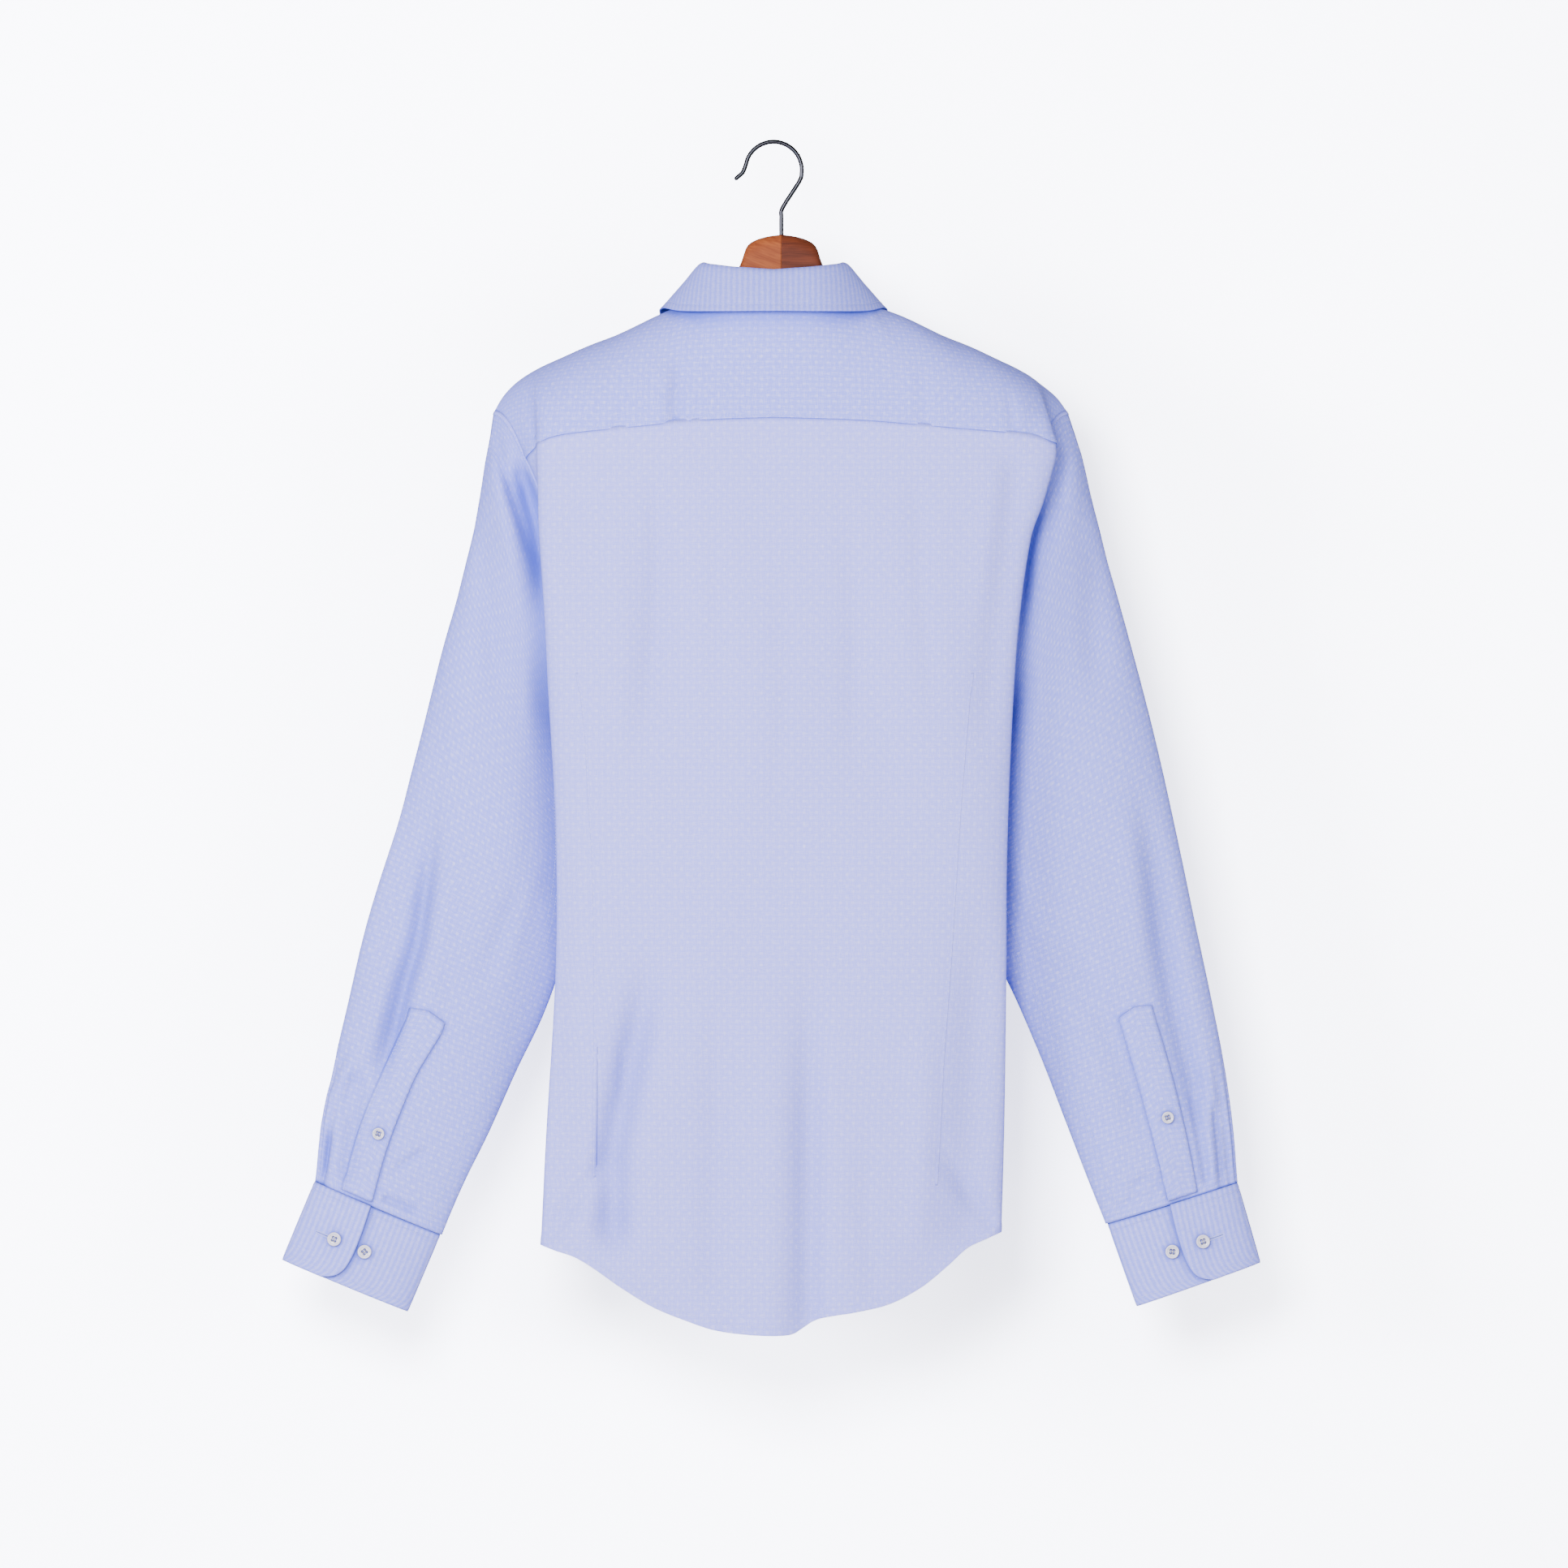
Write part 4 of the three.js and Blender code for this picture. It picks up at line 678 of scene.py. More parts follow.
def new_object(name, mesh, slot, *nodes):
    """An object that rides on the root body and takes the place of the CAD nodes named."""
    obj = bpy.data.objects.new(name, mesh)
    bpy.context.scene.collection.objects.link(obj)
    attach(obj, "root")
    if nodes:
        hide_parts(*nodes)
    return obj


def cloth(name, patches, thickness, slot, *nodes):
    """One sheet from patches: equal points are welded, and Solidify gives it its thickness."""
    points, quads, flats, first = [], [], [], 0
    for p in patches:
        points.append(p.points.reshape(-1, 3))
        flats.append(p.flat.reshape(-1, 2))
        quads.append(quads_of(p.points, p.normal, first))
        first += len(points[-1])
    points, quads, flats = map(np.concatenate, (points, quads, flats))
    _, kept, welded = np.unique(np.round(points, 2), axis=0, return_index=True, return_inverse=True)
    faces = welded.reshape(-1)[quads]
    obj = new_object(name, new_mesh(name, points[kept], faces, flats[quads.ravel()]), slot, *nodes)
    wall = obj.modifiers.new("Thickness", "SOLIDIFY")
    wall.thickness = thickness * MM
    wall.offset = 0
    print(f"{name}: {len(faces)} quads")
    return obj


def both_sides(form, columns, rows):
    """A grid over signed columns: plus ones on the left side, minus ones on the right."""
    across, up = np.meshgrid(np.abs(columns), rows)
    flipped = form(right, across, up) * [-1, 1, 1]
    return np.where((columns < 0)[None, :, None], flipped, form(left, across, up))


def one_side(side, form, columns, rows):
    """A grid over the columns and rows of one side."""
    across, up = np.meshgrid(columns, rows)
    return form(side, across, up) * [side.sign, 1, 1]


def centred(points):
    """Length along each row of a grid, from its middle column."""
    run = arc(points, 1)
    middle = points.shape[1] // 2
    return run - run[:, middle : middle + 1]


# %% [markdown]
# ## The cloth
#
# The weave is a dobby: small white dots in a centred lattice on fine blue and white threads. It is drawn
# by a node group from the cloth's own flat place, in real metres, so that dots and rows keep their size.
#
# The panels hang with their threads upright. The yoke and the sleeves are cut across. They and the plackets
# have a copy of the cloth with a darker ground, which is painted shade. On the collar and the cuffs the rows
# stand up as faint stripes. The three are the same cloth, so they share the group and differ only in its
# inputs.
#
# Each material also has painted shade: its colour moves towards a deep blue at grazing angles and in
# hollows, which an ambient occlusion node finds. It stands in for the shade in the folds and turns.

# %% The weave as a node group
DOT_PITCH, ROW_PITCH, CROSS_PITCH = 9.34, 8.58, 4.67


def nodes_of(tree):
    """Three short helpers of a tree: one adds a node, one a calculation, one a link."""
    def add(kind, **values):
        """A node of a kind, with its settings."""
        node = tree.nodes.new(kind)
        for key, value in values.items():
            setattr(node, key, value)
        return node

    def calculate(operation, *inputs, kind="ShaderNodeMath"):
        """The result of an operation on sockets and numbers."""
        node = add(kind, operation=operation)
        for socket, value in zip(node.inputs, inputs):
            if isinstance(value, bpy.types.NodeSocket):
                tree.links.new(value, socket)
            else:
                socket.default_value = value
        return node.outputs["Value" if kind == "ShaderNodeMath" or operation == "LENGTH" else "Vector"]

    return add, calculate, tree.links.new


def group(name, inputs, outputs):
    """An empty shader node group: a number makes a float socket, three a vector and four a colour."""
    tree = bpy.data.node_groups.new(name, "ShaderNodeTree")
    kinds = {0: "NodeSocketFloat", 3: "NodeSocketVector", 4: "NodeSocketColor"}
    for label, value in inputs.items():
        size = len(value) if hasattr(value, "__len__") else 0
        socket = tree.interface.new_socket(name=label, in_out="INPUT", socket_type=kinds[size])
        socket.default_value = value
    for label, size in outputs.items():
        tree.interface.new_socket(name=label, in_out="OUTPUT", socket_type=kinds[size])
    return tree


def weave_group():
    """Dots at distance d from the lattice points: mask = 1 - smoothstep(d); rows and threads from cosines."""
    tree = group(
        "Dobby weave",
        {"Flat place": (0, 0, 0), "Ground": (0.5, 0.5, 0.8, 1), "Dot": (0.8, 0.8, 0.9, 1),
         "Dot strength": 0.6, "Row strength": 0.2, "Cross strength": 0.1, "Thread strength": 0.1},
        {"Color": 4, "Height": 0},
    )
    add, calc, link = nodes_of(tree)
    given, made = add("NodeGroupInput").outputs, add("NodeGroupOutput").inputs
    vector = "ShaderNodeVectorMath"
    cells = calc("MULTIPLY", given["Flat place"], (1000 / DOT_PITCH, 1000 / ROW_PITCH, 0), kind=vector)
    away = []
    for offset in (0.0, 0.5):
        moved = calc("ADD", cells, (offset, offset, 0), kind=vector)
        inside = calc("SUBTRACT", calc("FRACTION", moved, kind=vector), (0.5, 0.5, 0), kind=vector)
        inside = calc("MULTIPLY", inside, (DOT_PITCH, ROW_PITCH, 0), kind=vector)
        away.append(calc("LENGTH", inside, kind=vector))
    near = calc("MINIMUM", *away)
    soften = add("ShaderNodeMapRange", interpolation_type="SMOOTHSTEP")
    soften.inputs["From Min"].default_value = 0.7
    soften.inputs["From Max"].default_value = 1.6
    soften.inputs["To Min"].default_value = 1
    soften.inputs["To Max"].default_value = 0
    link(near, soften.inputs["Value"])
    parts = add("ShaderNodeSeparateXYZ")
    link(given["Flat place"], parts.inputs[0])
    rows = calc("COSINE", calc("MULTIPLY", parts.outputs["Y"], 2 * np.pi * 2000 / ROW_PITCH))
    lines = calc("COSINE", calc("MULTIPLY", parts.outputs["X"], 2 * np.pi * 1000 / CROSS_PITCH))
    slubs = []
    for stretch in ((1500, 180, 0), (180, 1500, 0)):
        noise = add("ShaderNodeTexNoise", noise_dimensions="2D")
        noise.inputs["Scale"].default_value = 1
        noise.inputs["Detail"].default_value = 2
        link(calc("MULTIPLY", given["Flat place"], stretch, kind=vector), noise.inputs["Vector"])
        slubs.append(calc("SUBTRACT", noise.outputs[0], 0.5))
    thread = calc("MULTIPLY", calc("ADD", *slubs), given["Thread strength"])
    across = calc("MULTIPLY", calc("ADD", calc("MULTIPLY", rows, 0.5), 0.5), given["Row strength"])
    cross = calc("MULTIPLY", calc("ADD", calc("MULTIPLY", lines, 0.5), 0.5), given["Cross strength"])
    dots = calc("MULTIPLY", soften.outputs["Result"], given["Dot strength"])
    whole = calc("ADD", calc("ADD", dots, thread), calc("ADD", across, cross))
    blend = add("ShaderNodeMix", data_type="RGBA", clamp_factor=True)
    link(whole, blend.inputs["Factor"])
    link(given["Ground"], blend.inputs[6])
    link(given["Dot"], blend.inputs[7])
    link(blend.outputs[2], made["Color"])
    link(calc("ADD", dots, calc("MULTIPLY", thread, 3)), made["Height"])
    return tree


WEAVE = weave_group()


# %% Materials of the cloth
def material(name):
    """A new material with a shader, and the helpers for its tree."""
    made = bpy.data.materials.new(name)
    made.use_nodes = True
    tree = made.node_tree
    return made, tree.nodes["Principled BSDF"], *nodes_of(tree)


# Reach of the occlusion, and strengths of the painted shade in hollows and at grazing angles.
FOLD_SHADE_REACH, HOLLOW_SHADE_STRENGTH, EDGE_SHADE_STRENGTH = 0.028, 2.1, 0.4
PALE = (0.62, 0.60, 0.95)
PAINTED_SHADE_BLUE = (0.09, 0.13, 0.62)


def cloth_material(name, ground, **strengths):
    """Woven cotton: the weave's colour and height, a matt shader, and painted shade, deep blue where it folds
    in.
    """
    made, shader, add, calc, link = material(name)
    weave = add("ShaderNodeGroup", node_tree=WEAVE)
    link(add("ShaderNodeUVMap", uv_map="UVMap").outputs[0], weave.inputs["Flat place"])
    weave.inputs["Ground"].default_value = (*ground, 1)
    weave.inputs["Dot"].default_value = (*PALE, 1)
    for part, strength in strengths.items():
        weave.inputs[f"{part.capitalize()} strength"].default_value = strength
    raise_up = add("ShaderNodeBump")
    raise_up.inputs["Strength"].default_value = 0.3
    raise_up.inputs["Distance"].default_value = 0.0002
    link(weave.outputs["Height"], raise_up.inputs["Height"])
    link(raise_up.outputs[0], shader.inputs["Normal"])
    # Painted shade: the colour moves to a deep blue where the cloth turns from the view and in hollows.
    turned = add("ShaderNodeMix", data_type="RGBA")
    turned.inputs[7].default_value = (*PAINTED_SHADE_BLUE, 1)
    facing = add("ShaderNodeLayerWeight")
    facing.inputs["Blend"].default_value = 0.5
    fold_shade_occlusion = add("ShaderNodeAmbientOcclusion", samples=3)
    fold_shade_occlusion.inputs["Distance"].default_value = FOLD_SHADE_REACH
    shade = calc("MULTIPLY", calc("SUBTRACT", 1.0, fold_shade_occlusion.outputs["AO"]), HOLLOW_SHADE_STRENGTH)
    edge = calc("MULTIPLY", facing.outputs["Facing"], EDGE_SHADE_STRENGTH)
    link(calc("ADD", edge, shade), turned.inputs["Factor"])
    link(weave.outputs["Color"], turned.inputs[6])
    link(turned.outputs[2], shader.inputs["Base Color"])
    shader.inputs["Roughness"].default_value = 0.85
    shader.inputs["Specular IOR Level"].default_value = 0.15
    shader.inputs["Sheen Weight"].default_value = 0.04
    shader.inputs["Sheen Roughness"].default_value = 0.5
    return made


# The second ground, for the yoke, the sleeves and the plackets, is a darker copy of the first: painted shade.
BLUE, ACROSS_SHADED_BLUE, STRIPED_BLUE = (0.345, 0.355, 0.95), (0.26, 0.29, 0.92), (0.25, 0.28, 0.89)
COTTON = cloth_material("Blue dobby cotton", BLUE, dot=0.27, row=0.12, cross=0.08, thread=0.9)
COTTON_ACROSS_SHADED = cloth_material("Blue dobby cotton across", ACROSS_SHADED_BLUE, dot=0.25, row=0.16, cross=0.08, thread=0.9)
STRIPED = cloth_material("Blue dobby cotton turned", STRIPED_BLUE, dot=0.08, row=0.34, cross=0.03, thread=0.6)
print("materials of the cloth:", COTTON.name, "/", COTTON_ACROSS_SHADED.name, "/", STRIPED.name)

# %% [markdown]
# ## Back, yoke and fronts
#
# The grid is finer near the hem, the yoke seam and the side folds, where the cloth bends most. The hem
# is turned under twice, so that it stands out a little, with the stitches sunk at its upper edge.

# %% Grids of the body
CLOTH_THICKNESS = 0.6
HEM_WIDTH, ROW_HEIGHT = 6.2, 37
FACES_BACK, FACES_FRONT = np.array([0, 1, 0.05]), np.array([0, -1, 0.05])
hem_rows = np.array([0, 0.7, 2, 3.6, 5, 5.7, 6.2, 6.7, 7.6, 9.5, 13, 18]) / ROW_HEIGHT
body_rows = np.concatenate([hem_rows, np.linspace(0.62, LOW, 108), np.linspace(LOW, TOP, 50)[1:]])
half_columns = np.concatenate([
    np.linspace(0, 6.2, 38), np.linspace(6.2, 8.6, 26)[1:],
    np.linspace(8.6, 9.3, 16)[1:], np.linspace(9.3, END, 14)[1:],
])
signed_columns = np.concatenate([-half_columns[:0:-1], half_columns])


def hem_lift(points, low_z):
    """The hem's turned layers raise it by up to 0.35 mm, with a dip at the stitch line."""
    up = points[..., 2] - low_z
    layers = 0.35 * (1 - smooth(up, HEM_WIDTH - 0.3, HEM_WIDTH + 1.6))
    return layers - 0.3 * np.exp(-(((up - HEM_WIDTH) / 0.55) ** 2))


back_grid = both_sides(back_point, signed_columns, body_rows)
back_lift = hem_lift(back_grid, back_grid[:1, :, 2])
back_patch = patch(back_grid, centred(back_grid), back_grid[..., 2], FACES_BACK, back_lift)
back = cloth("back_panel", [back_patch], CLOTH_THICKNESS, "cloth", "back")

YOKE_HANG, YOKE_LIFT, FLAP_FLAT_X, FLAP_FLAT_Z = -0.010, 0.4, 62, -90
seam_rises = [YOKE_HANG, YOKE_HANG + 0.004, 0, 0.008, 0.016, 0.03, 0.05]
yoke_rises = np.concatenate([seam_rises, np.linspace(0.075, 1, 40)])
flap_drops = np.linspace(0, 1, 30)
yoke_grid = both_sides(yoke_point, signed_columns, yoke_rises)
yoke_lift = YOKE_LIFT * (1 - smooth(yoke_rises, 0.01, 0.12))[:, None] * np.ones(len(signed_columns))
yoke_v = back_grid[-1:, :, 2] + arc(yoke_grid, 0)
yoke_patches = [patch(yoke_grid, centred(yoke_grid), yoke_v, FACES_BACK + [0, 0, 1], yoke_lift)]
out_columns = np.concatenate([[NECK], half_columns[half_columns > NECK]])
for side in (left, right):
    grid = one_side(side, flap_point, out_columns, flap_drops)
    flat_u = side.sign * (arc(grid, 1) + FLAP_FLAT_X)
    yoke_patches.append(patch(grid, flat_u, arc(grid, 0) + FLAP_FLAT_Z, FACES_FRONT + [0, 0, 1]))
yoke = cloth("yoke_panel", yoke_patches, CLOTH_THICKNESS, "cloth", "yoke")

front_columns = np.concatenate([np.linspace(-1, 0, 9)[:-1], half_columns])
fronts = {}
for side in (left, right):
    grid = one_side(side, front_point, front_columns, body_rows)
    run = arc(grid, 1)
    lift = hem_lift(grid, grid[:1, :, 2])
    fronts[side.name] = cloth(
        f"front_panel_{side.name}", [patch(grid, side.sign * run, grid[..., 2], FACES_FRONT, lift)],
        CLOTH_THICKNESS, "cloth", f"front_{side.name}",
    )
for obj in (back, *fronts.values()):
    obj.data.materials.append(COTTON)
yoke.data.materials.append(COTTON_ACROSS_SHADED)

# %% [markdown]
# ## Sleeves, collar and cuffs
#
# The collar is a stand round the neck and a leaf that rises from it, rolls over and comes down. Both are
# two layers with a stiffening between them, so they hold their form. A cuff is the same kind of strip,
# wound once round the sleeve's end and lapped over itself.

# %% Sleeves
sleeve_steps = np.concatenate([
    np.linspace(0, 0.3, 7), np.linspace(0.3, 8, 92)[1:], np.linspace(8, SLEEVE_STEPS, 62)[1:],
])
sleeve_turns = np.linspace(-180, 180, 181)
outer_column, back_column = np.searchsorted(sleeve_turns, [0, 84])
SLEEVE_FLAT_X = 40
sleeves = {}
for side in (left, right):
    grid = one_side(side, sleeve_by_turn, sleeve_turns, sleeve_steps)
    grid[:, -1] = grid[:, 0]
    middle = (grid[:, :1] + grid[:, [outer_column]]) / 2
    along = arc(grid[:, [back_column]], 0)
    around = centred(grid) + SLEEVE_FLAT_X
    sleeves[side.name] = cloth(
        f"sleeve_tube_{side.name}", [patch(grid, around, -along, grid - middle, wrap=True)],
        CLOTH_THICKNESS, "cloth", f"sleeve_{side.name}",
    )
    sleeves[side.name].data.materials.append(COTTON_ACROSS_SHADED)

# %% Collar stand and leaf
TAB_DROP, COLLAR_THICKNESS = 13, 1.3
LEAF_PROFILE = table("row share up out", [
    [0, 0, 0.7, 0], [1, 0, 2.6, 0.8], [2, 0, 3.4, 2.8], [3, 0.06, 2.2, 4.8],
    [4, 0.36, 0.6, 3.6], [5, 0.68, 0.2, 2], [6, 1, 0, 0],
])


def stand_point(side, step, rise):
    """Straight lines from the neckline to the stand's upper edge, which drops at the buttoned tab."""
    top = collar_point(step, "top")
    top[..., 2] -= TAB_DROP * smooth(step, 6.9, LAP_STEP)
    return lapped(side, mix(neckline(side, step), top, np.asarray(rise)[..., None]))


def leaf_point(side, step, row):
    """From the stand's top towards the leaf's edge by share, moved up and out by the roll's profile."""
    top = stand_point(side, step, np.ones(np.shape(step)))
    up = unit(top - neckline(side, step))
    edge = collar_point(step, "edge")
    out = unit((edge - top) * [1, 1, 0])
    share, rise, away = (read(LEAF_PROFILE, "row", row, name)[..., None] for name in ("share", "up", "out"))
    return mix(top, edge, share) + up * rise + out * away


def from_neck(points):
    """The level way out from the upright line through the neck."""
    return points * [1, 1, 0]


def round_neck(form, steps, rows):
    """A grid from the left end of the collar round the back of the neck to the right end."""
    lefts = one_side(left, form, steps, rows)
    rights = one_side(right, form, steps, rows)
    return np.concatenate([lefts, rights[:, -2::-1]], axis=1)


stand_grid = round_neck(stand_point, np.linspace(LAP_STEP, 0, 84), np.linspace(0, 1, 14))
stand_patch = patch(stand_grid, arc(stand_grid, 0), centred(stand_grid), from_neck(stand_grid))
stand = cloth("stand_band", [stand_patch], COLLAR_THICKNESS, "cloth_striped", "collar_stand")
leaf_rows = np.concatenate([np.linspace(0, 3, 19), np.linspace(3, 5.9, 26)[1:], [5.95, 6]])
leaf_grid = round_neck(leaf_point, np.linspace(LEAF_END_STEP, 0, 100), leaf_rows)
edge_distance = np.minimum(arc(leaf_grid[::-1], 0)[::-1], 40)
leaf_lift = 0.25 * np.exp(-((edge_distance / 4) ** 2)) - 0.3 * np.exp(-(((edge_distance - 6) / 0.7) ** 2))
leaf_out = unit(from_neck(leaf_grid))
leaf_lift = leaf_lift * (leaf_rows > 3)[:, None]
leaf_patch = patch(leaf_grid, arc(leaf_grid, 0), centred(leaf_grid), leaf_out, leaf_lift)
leaf = cloth("leaf_band", [leaf_patch], COLLAR_THICKNESS, "cloth_striped", "collar_leaf")

# %% Cuffs
CUFF_DEPTH, CUFF_MID_Y, CUFF_SPIRAL, CUFF_UNDER_TURN, CUFF_FREE_TURN = 24, -14, 2.5, 50, 444
CUFF_ENDS = {
    "left": ((351.1, -793.15, 376, -853), (254.1, -834.15, 279, -893)),
    "right": ((355, -794.15, 372.5, -855), (254.6, -825.65, 277, -889)),
}
CUFF_REACH = {"left": 0, "right": 8}
FREE_END_LIFT, CUFF_THICKNESS = 0.9, 1.2
CUFF_FREE_END = table("down turn", [[0, 444], [0.4, 446], [0.75, 445], [0.92, 439], [1, 428]])


def cuff_point(side, share, down):
    """An oval wound from turn 50 to the free end; its half width grows by the spiral as it winds."""
    (ax, az, bx, bz), (cx, cz, dx, dz) = CUFF_ENDS[side.name]
    turn = mix(CUFF_UNDER_TURN, read(CUFF_FREE_END, "down", down, "turn") + CUFF_REACH[side.name], share)
    inside = CUFF_SPIRAL * (1 - (turn - CUFF_UNDER_TURN) / (CUFF_FREE_TURN - CUFF_UNDER_TURN))
    outer_x, outer_z = mix(ax, bx, down), mix(az, bz, down)
    inner_x, inner_z = mix(cx, dx, down), mix(cz, dz, down)
    size = np.hypot(outer_x - inner_x, outer_z - inner_z)
    step_x, step_z = (outer_x - inner_x) / size * inside, (outer_z - inner_z) / size * inside
    outer_x, outer_z = outer_x - step_x, outer_z - step_z
    inner_x, inner_z = inner_x + step_x, inner_z + step_z
    return oval(outer_x, outer_z, inner_x, inner_z, CUFF_DEPTH + 3 - 2 * inside, CUFF_MID_Y, turn)


cuff_shares = np.linspace(0, 1, 200)
cuff_downs = np.concatenate([np.linspace(0, 0.7, 18), np.linspace(0.7, 1, 14)[1:]])
cuffs = {}
for side in (left, right):
    grid = one_side(side, cuff_point, cuff_shares, cuff_downs)
    middle = grid.mean(axis=1, keepdims=True)
    down = arc(grid, 0)
    edge = np.minimum(down, down[-1:] - down)
    puff = 0.35 * smooth(edge, 0, 3) - 0.3 * np.exp(-(((edge - 5.5) / 0.7) ** 2))
    puff = puff + FREE_END_LIFT * smooth(cuff_shares, 0.95, 1)
    cuffs[side.name] = cloth(
        f"cuff_band_{side.name}", [patch(grid, down, centred(grid), grid - middle, puff)],
        CUFF_THICKNESS, "cloth_striped", f"cuff_{side.name}",
    )
for obj in (stand, leaf, *cuffs.values()):
    obj.data.materials.append(STRIPED)

# %% [markdown]
# ## Plackets
#
# The placket of the left front is a strip folded over the edge; the buttons sit on it. Each sleeve has
# a placket with a pointed top over its slit.

# %% Placket strips
TRIM_LIFT, TRIM_THICKNESS = 0.95, 0.8
placket_columns = np.linspace(-0.97, 0.68, 14)
placket_grid = one_side(left, front_point, placket_columns, body_rows)
front_patch = patch(placket_grid, centred(placket_grid), placket_grid[..., 2], FACES_FRONT, TRIM_LIFT)
placket = cloth("placket_strip", [front_patch], TRIM_THICKNESS, "cloth", "front_placket")
PLACKET_EDGES = {
    "left": table("step near far", [[7.9, 71, 95], [8.8, 64.5, 87.5], [10.93, 54.5, 84]]),
    "right": table("step near far", [[7.9, 70.5, 93], [8.8, 69, 93], [10.93, 67, 93]]),
}
PLACKET_TOP, PLACKET_END, PLACKET_PEAK = 7.74, 10.93, 0.07


def placket_point(side, share, down):
    """A strip of the sleeve between two turns, from its pointed top down to the cuff."""
    step = mix(PLACKET_TOP, PLACKET_END, down)
    edges = PLACKET_EDGES[side.name]
    turn = mix(read(edges, "step", step, "far"), read(edges, "step", step, "near"), share)
    peak = PLACKET_PEAK * (1 - np.abs(2 * share - 1)) * (1 - smooth(down, 0, 0.12))
    return sleeve_point(side, step - peak, turn)


strip_shares = np.linspace(0, 1, 13)
strip_lift = mix(1.5, 0.75, strip_shares)
plackets = [placket]
for side in (left, right):
    grid = one_side(side, placket_point, strip_shares, np.linspace(0, 1, 60))
    strip = patch(grid, arc(grid, 1), -arc(grid, 0), FACES_BACK, strip_lift)
    names = f"sleeve_strip_{side.name}", f"sleeve_placket_{side.name}"
    plackets.append(cloth(names[0], [strip], TRIM_THICKNESS, "cloth", names[1]))
for obj in plackets:
    obj.data.materials.append(COTTON_ACROSS_SHADED)

# %% [markdown]
# ## Stitches
#
# Every seam of a dress shirt is sewn or topstitched, and the stitches are what makes its edges read as
# cloth. A stitch is a thread that rises from the cloth, lies on it for two millimetres and dives in
# again. One small spindle is repeated along each line and all of them are joined in one mesh.

# %% Lines of stitches
STITCH_PITCH, STITCH_LENGTH, STITCH_RADIUS = 2.4, 1.8, 0.2


def plain_material(name, color, roughness):
    """A plain matt finish."""
    made, shader, *_ = material(name)
    shader.inputs["Base Color"].default_value = (*color, 1)
    shader.inputs["Roughness"].default_value = roughness
    return made


def on_skin(side, skin, u, v, outward):
    """Points of a skin, with the cross product of its two directions as the normal."""
    d = 0.01
    point = skin(side, u, v)
    across = skin(side, u + d, v) - skin(side, u - d, v)
    normal = unit(np.cross(across, skin(side, u, v + d) - skin(side, u, v - d)))
    flip = np.array([side.sign, 1, 1])
    point, normal = point * flip, normal * flip
    towards = outward(point) if callable(outward) else outward
    return point, normal * np.sign(np.sum(normal * towards, axis=-1, keepdims=True))


def line_on(side, skin, u, v, outward, lift, pitch=STITCH_PITCH):
    """Places at equal steps along a line on a skin, with the way along it and the way out of it."""
    t = np.linspace(0, 1, 600)
    u, v = (np.interp(t, np.linspace(0, 1, len(np.atleast_1d(w))), np.atleast_1d(w)) for w in (u, v))
    run = arc(skin(side, u, v)[None], 1)[0]
    count = max(int(run[-1] / pitch), 2)
    at = (np.arange(count) + 0.5) / count * run[-1]
    u, v = np.interp(at, run, u), np.interp(at, run, v)
    point, normal = on_skin(side, skin, u, v, outward)
    return point + normal * lift, unit(np.gradient(point, axis=0)), normal


def spindles(lines, length=STITCH_LENGTH, radius=STITCH_RADIUS):
    """Two rings of five points at plus and minus 0.3 of the length, with tips that dip by two radii."""
    centre, along, normal = (np.concatenate(part)[:, None] for part in zip(*lines))
    beside = np.cross(along, normal)
    a = np.arange(5) * 2 * np.pi / 5
    ring = radius * (np.cos(a)[:, None] * beside + np.sin(a)[:, None] * normal)
    tip = 0.5 * length * along
    points = np.concatenate([
        centre - tip - 2 * radius * normal, centre - 0.6 * tip + ring, centre + 0.6 * tip + ring,
        centre + tip - 2 * radius * normal,
    ], axis=1)
    i = np.arange(5)
    j = (i + 1) % 5
    first = np.stack([0 * i, i + 1, j + 1], -1)
    middle = np.concatenate([np.stack([i + 1, i + 6, j + 6], -1), np.stack([i + 1, j + 6, j + 1], -1)])
    last = np.stack([j + 6, i + 6, 0 * i + 11], -1)
    faces = np.concatenate([first, middle, last])[:, ::-1]
    faces = (faces[None] + 12 * np.arange(len(points))[:, None, None]).reshape(-1, 3)
    return points.reshape(-1, 3), faces


THREAD = plain_material("Thread", (0.50, 0.53, 0.92), 0.7)


def sewn(name, lines, **size):
    """All the stitches of the lines in one mesh."""
    points, faces = spindles(lines, **size)
    obj = new_object(name, new_mesh(name, points, faces), "cloth")
    obj.data.materials.append(THREAD)
    print(f"{name}: {len(points) // 12} stitches")
    return obj


def ends(a, b):
    """Two numbers as the ends of a line."""
    return np.array([a, b], float)


def away_from(x, y, z):
    """The way out from a middle point."""
    return lambda p: p - [x, y, z]


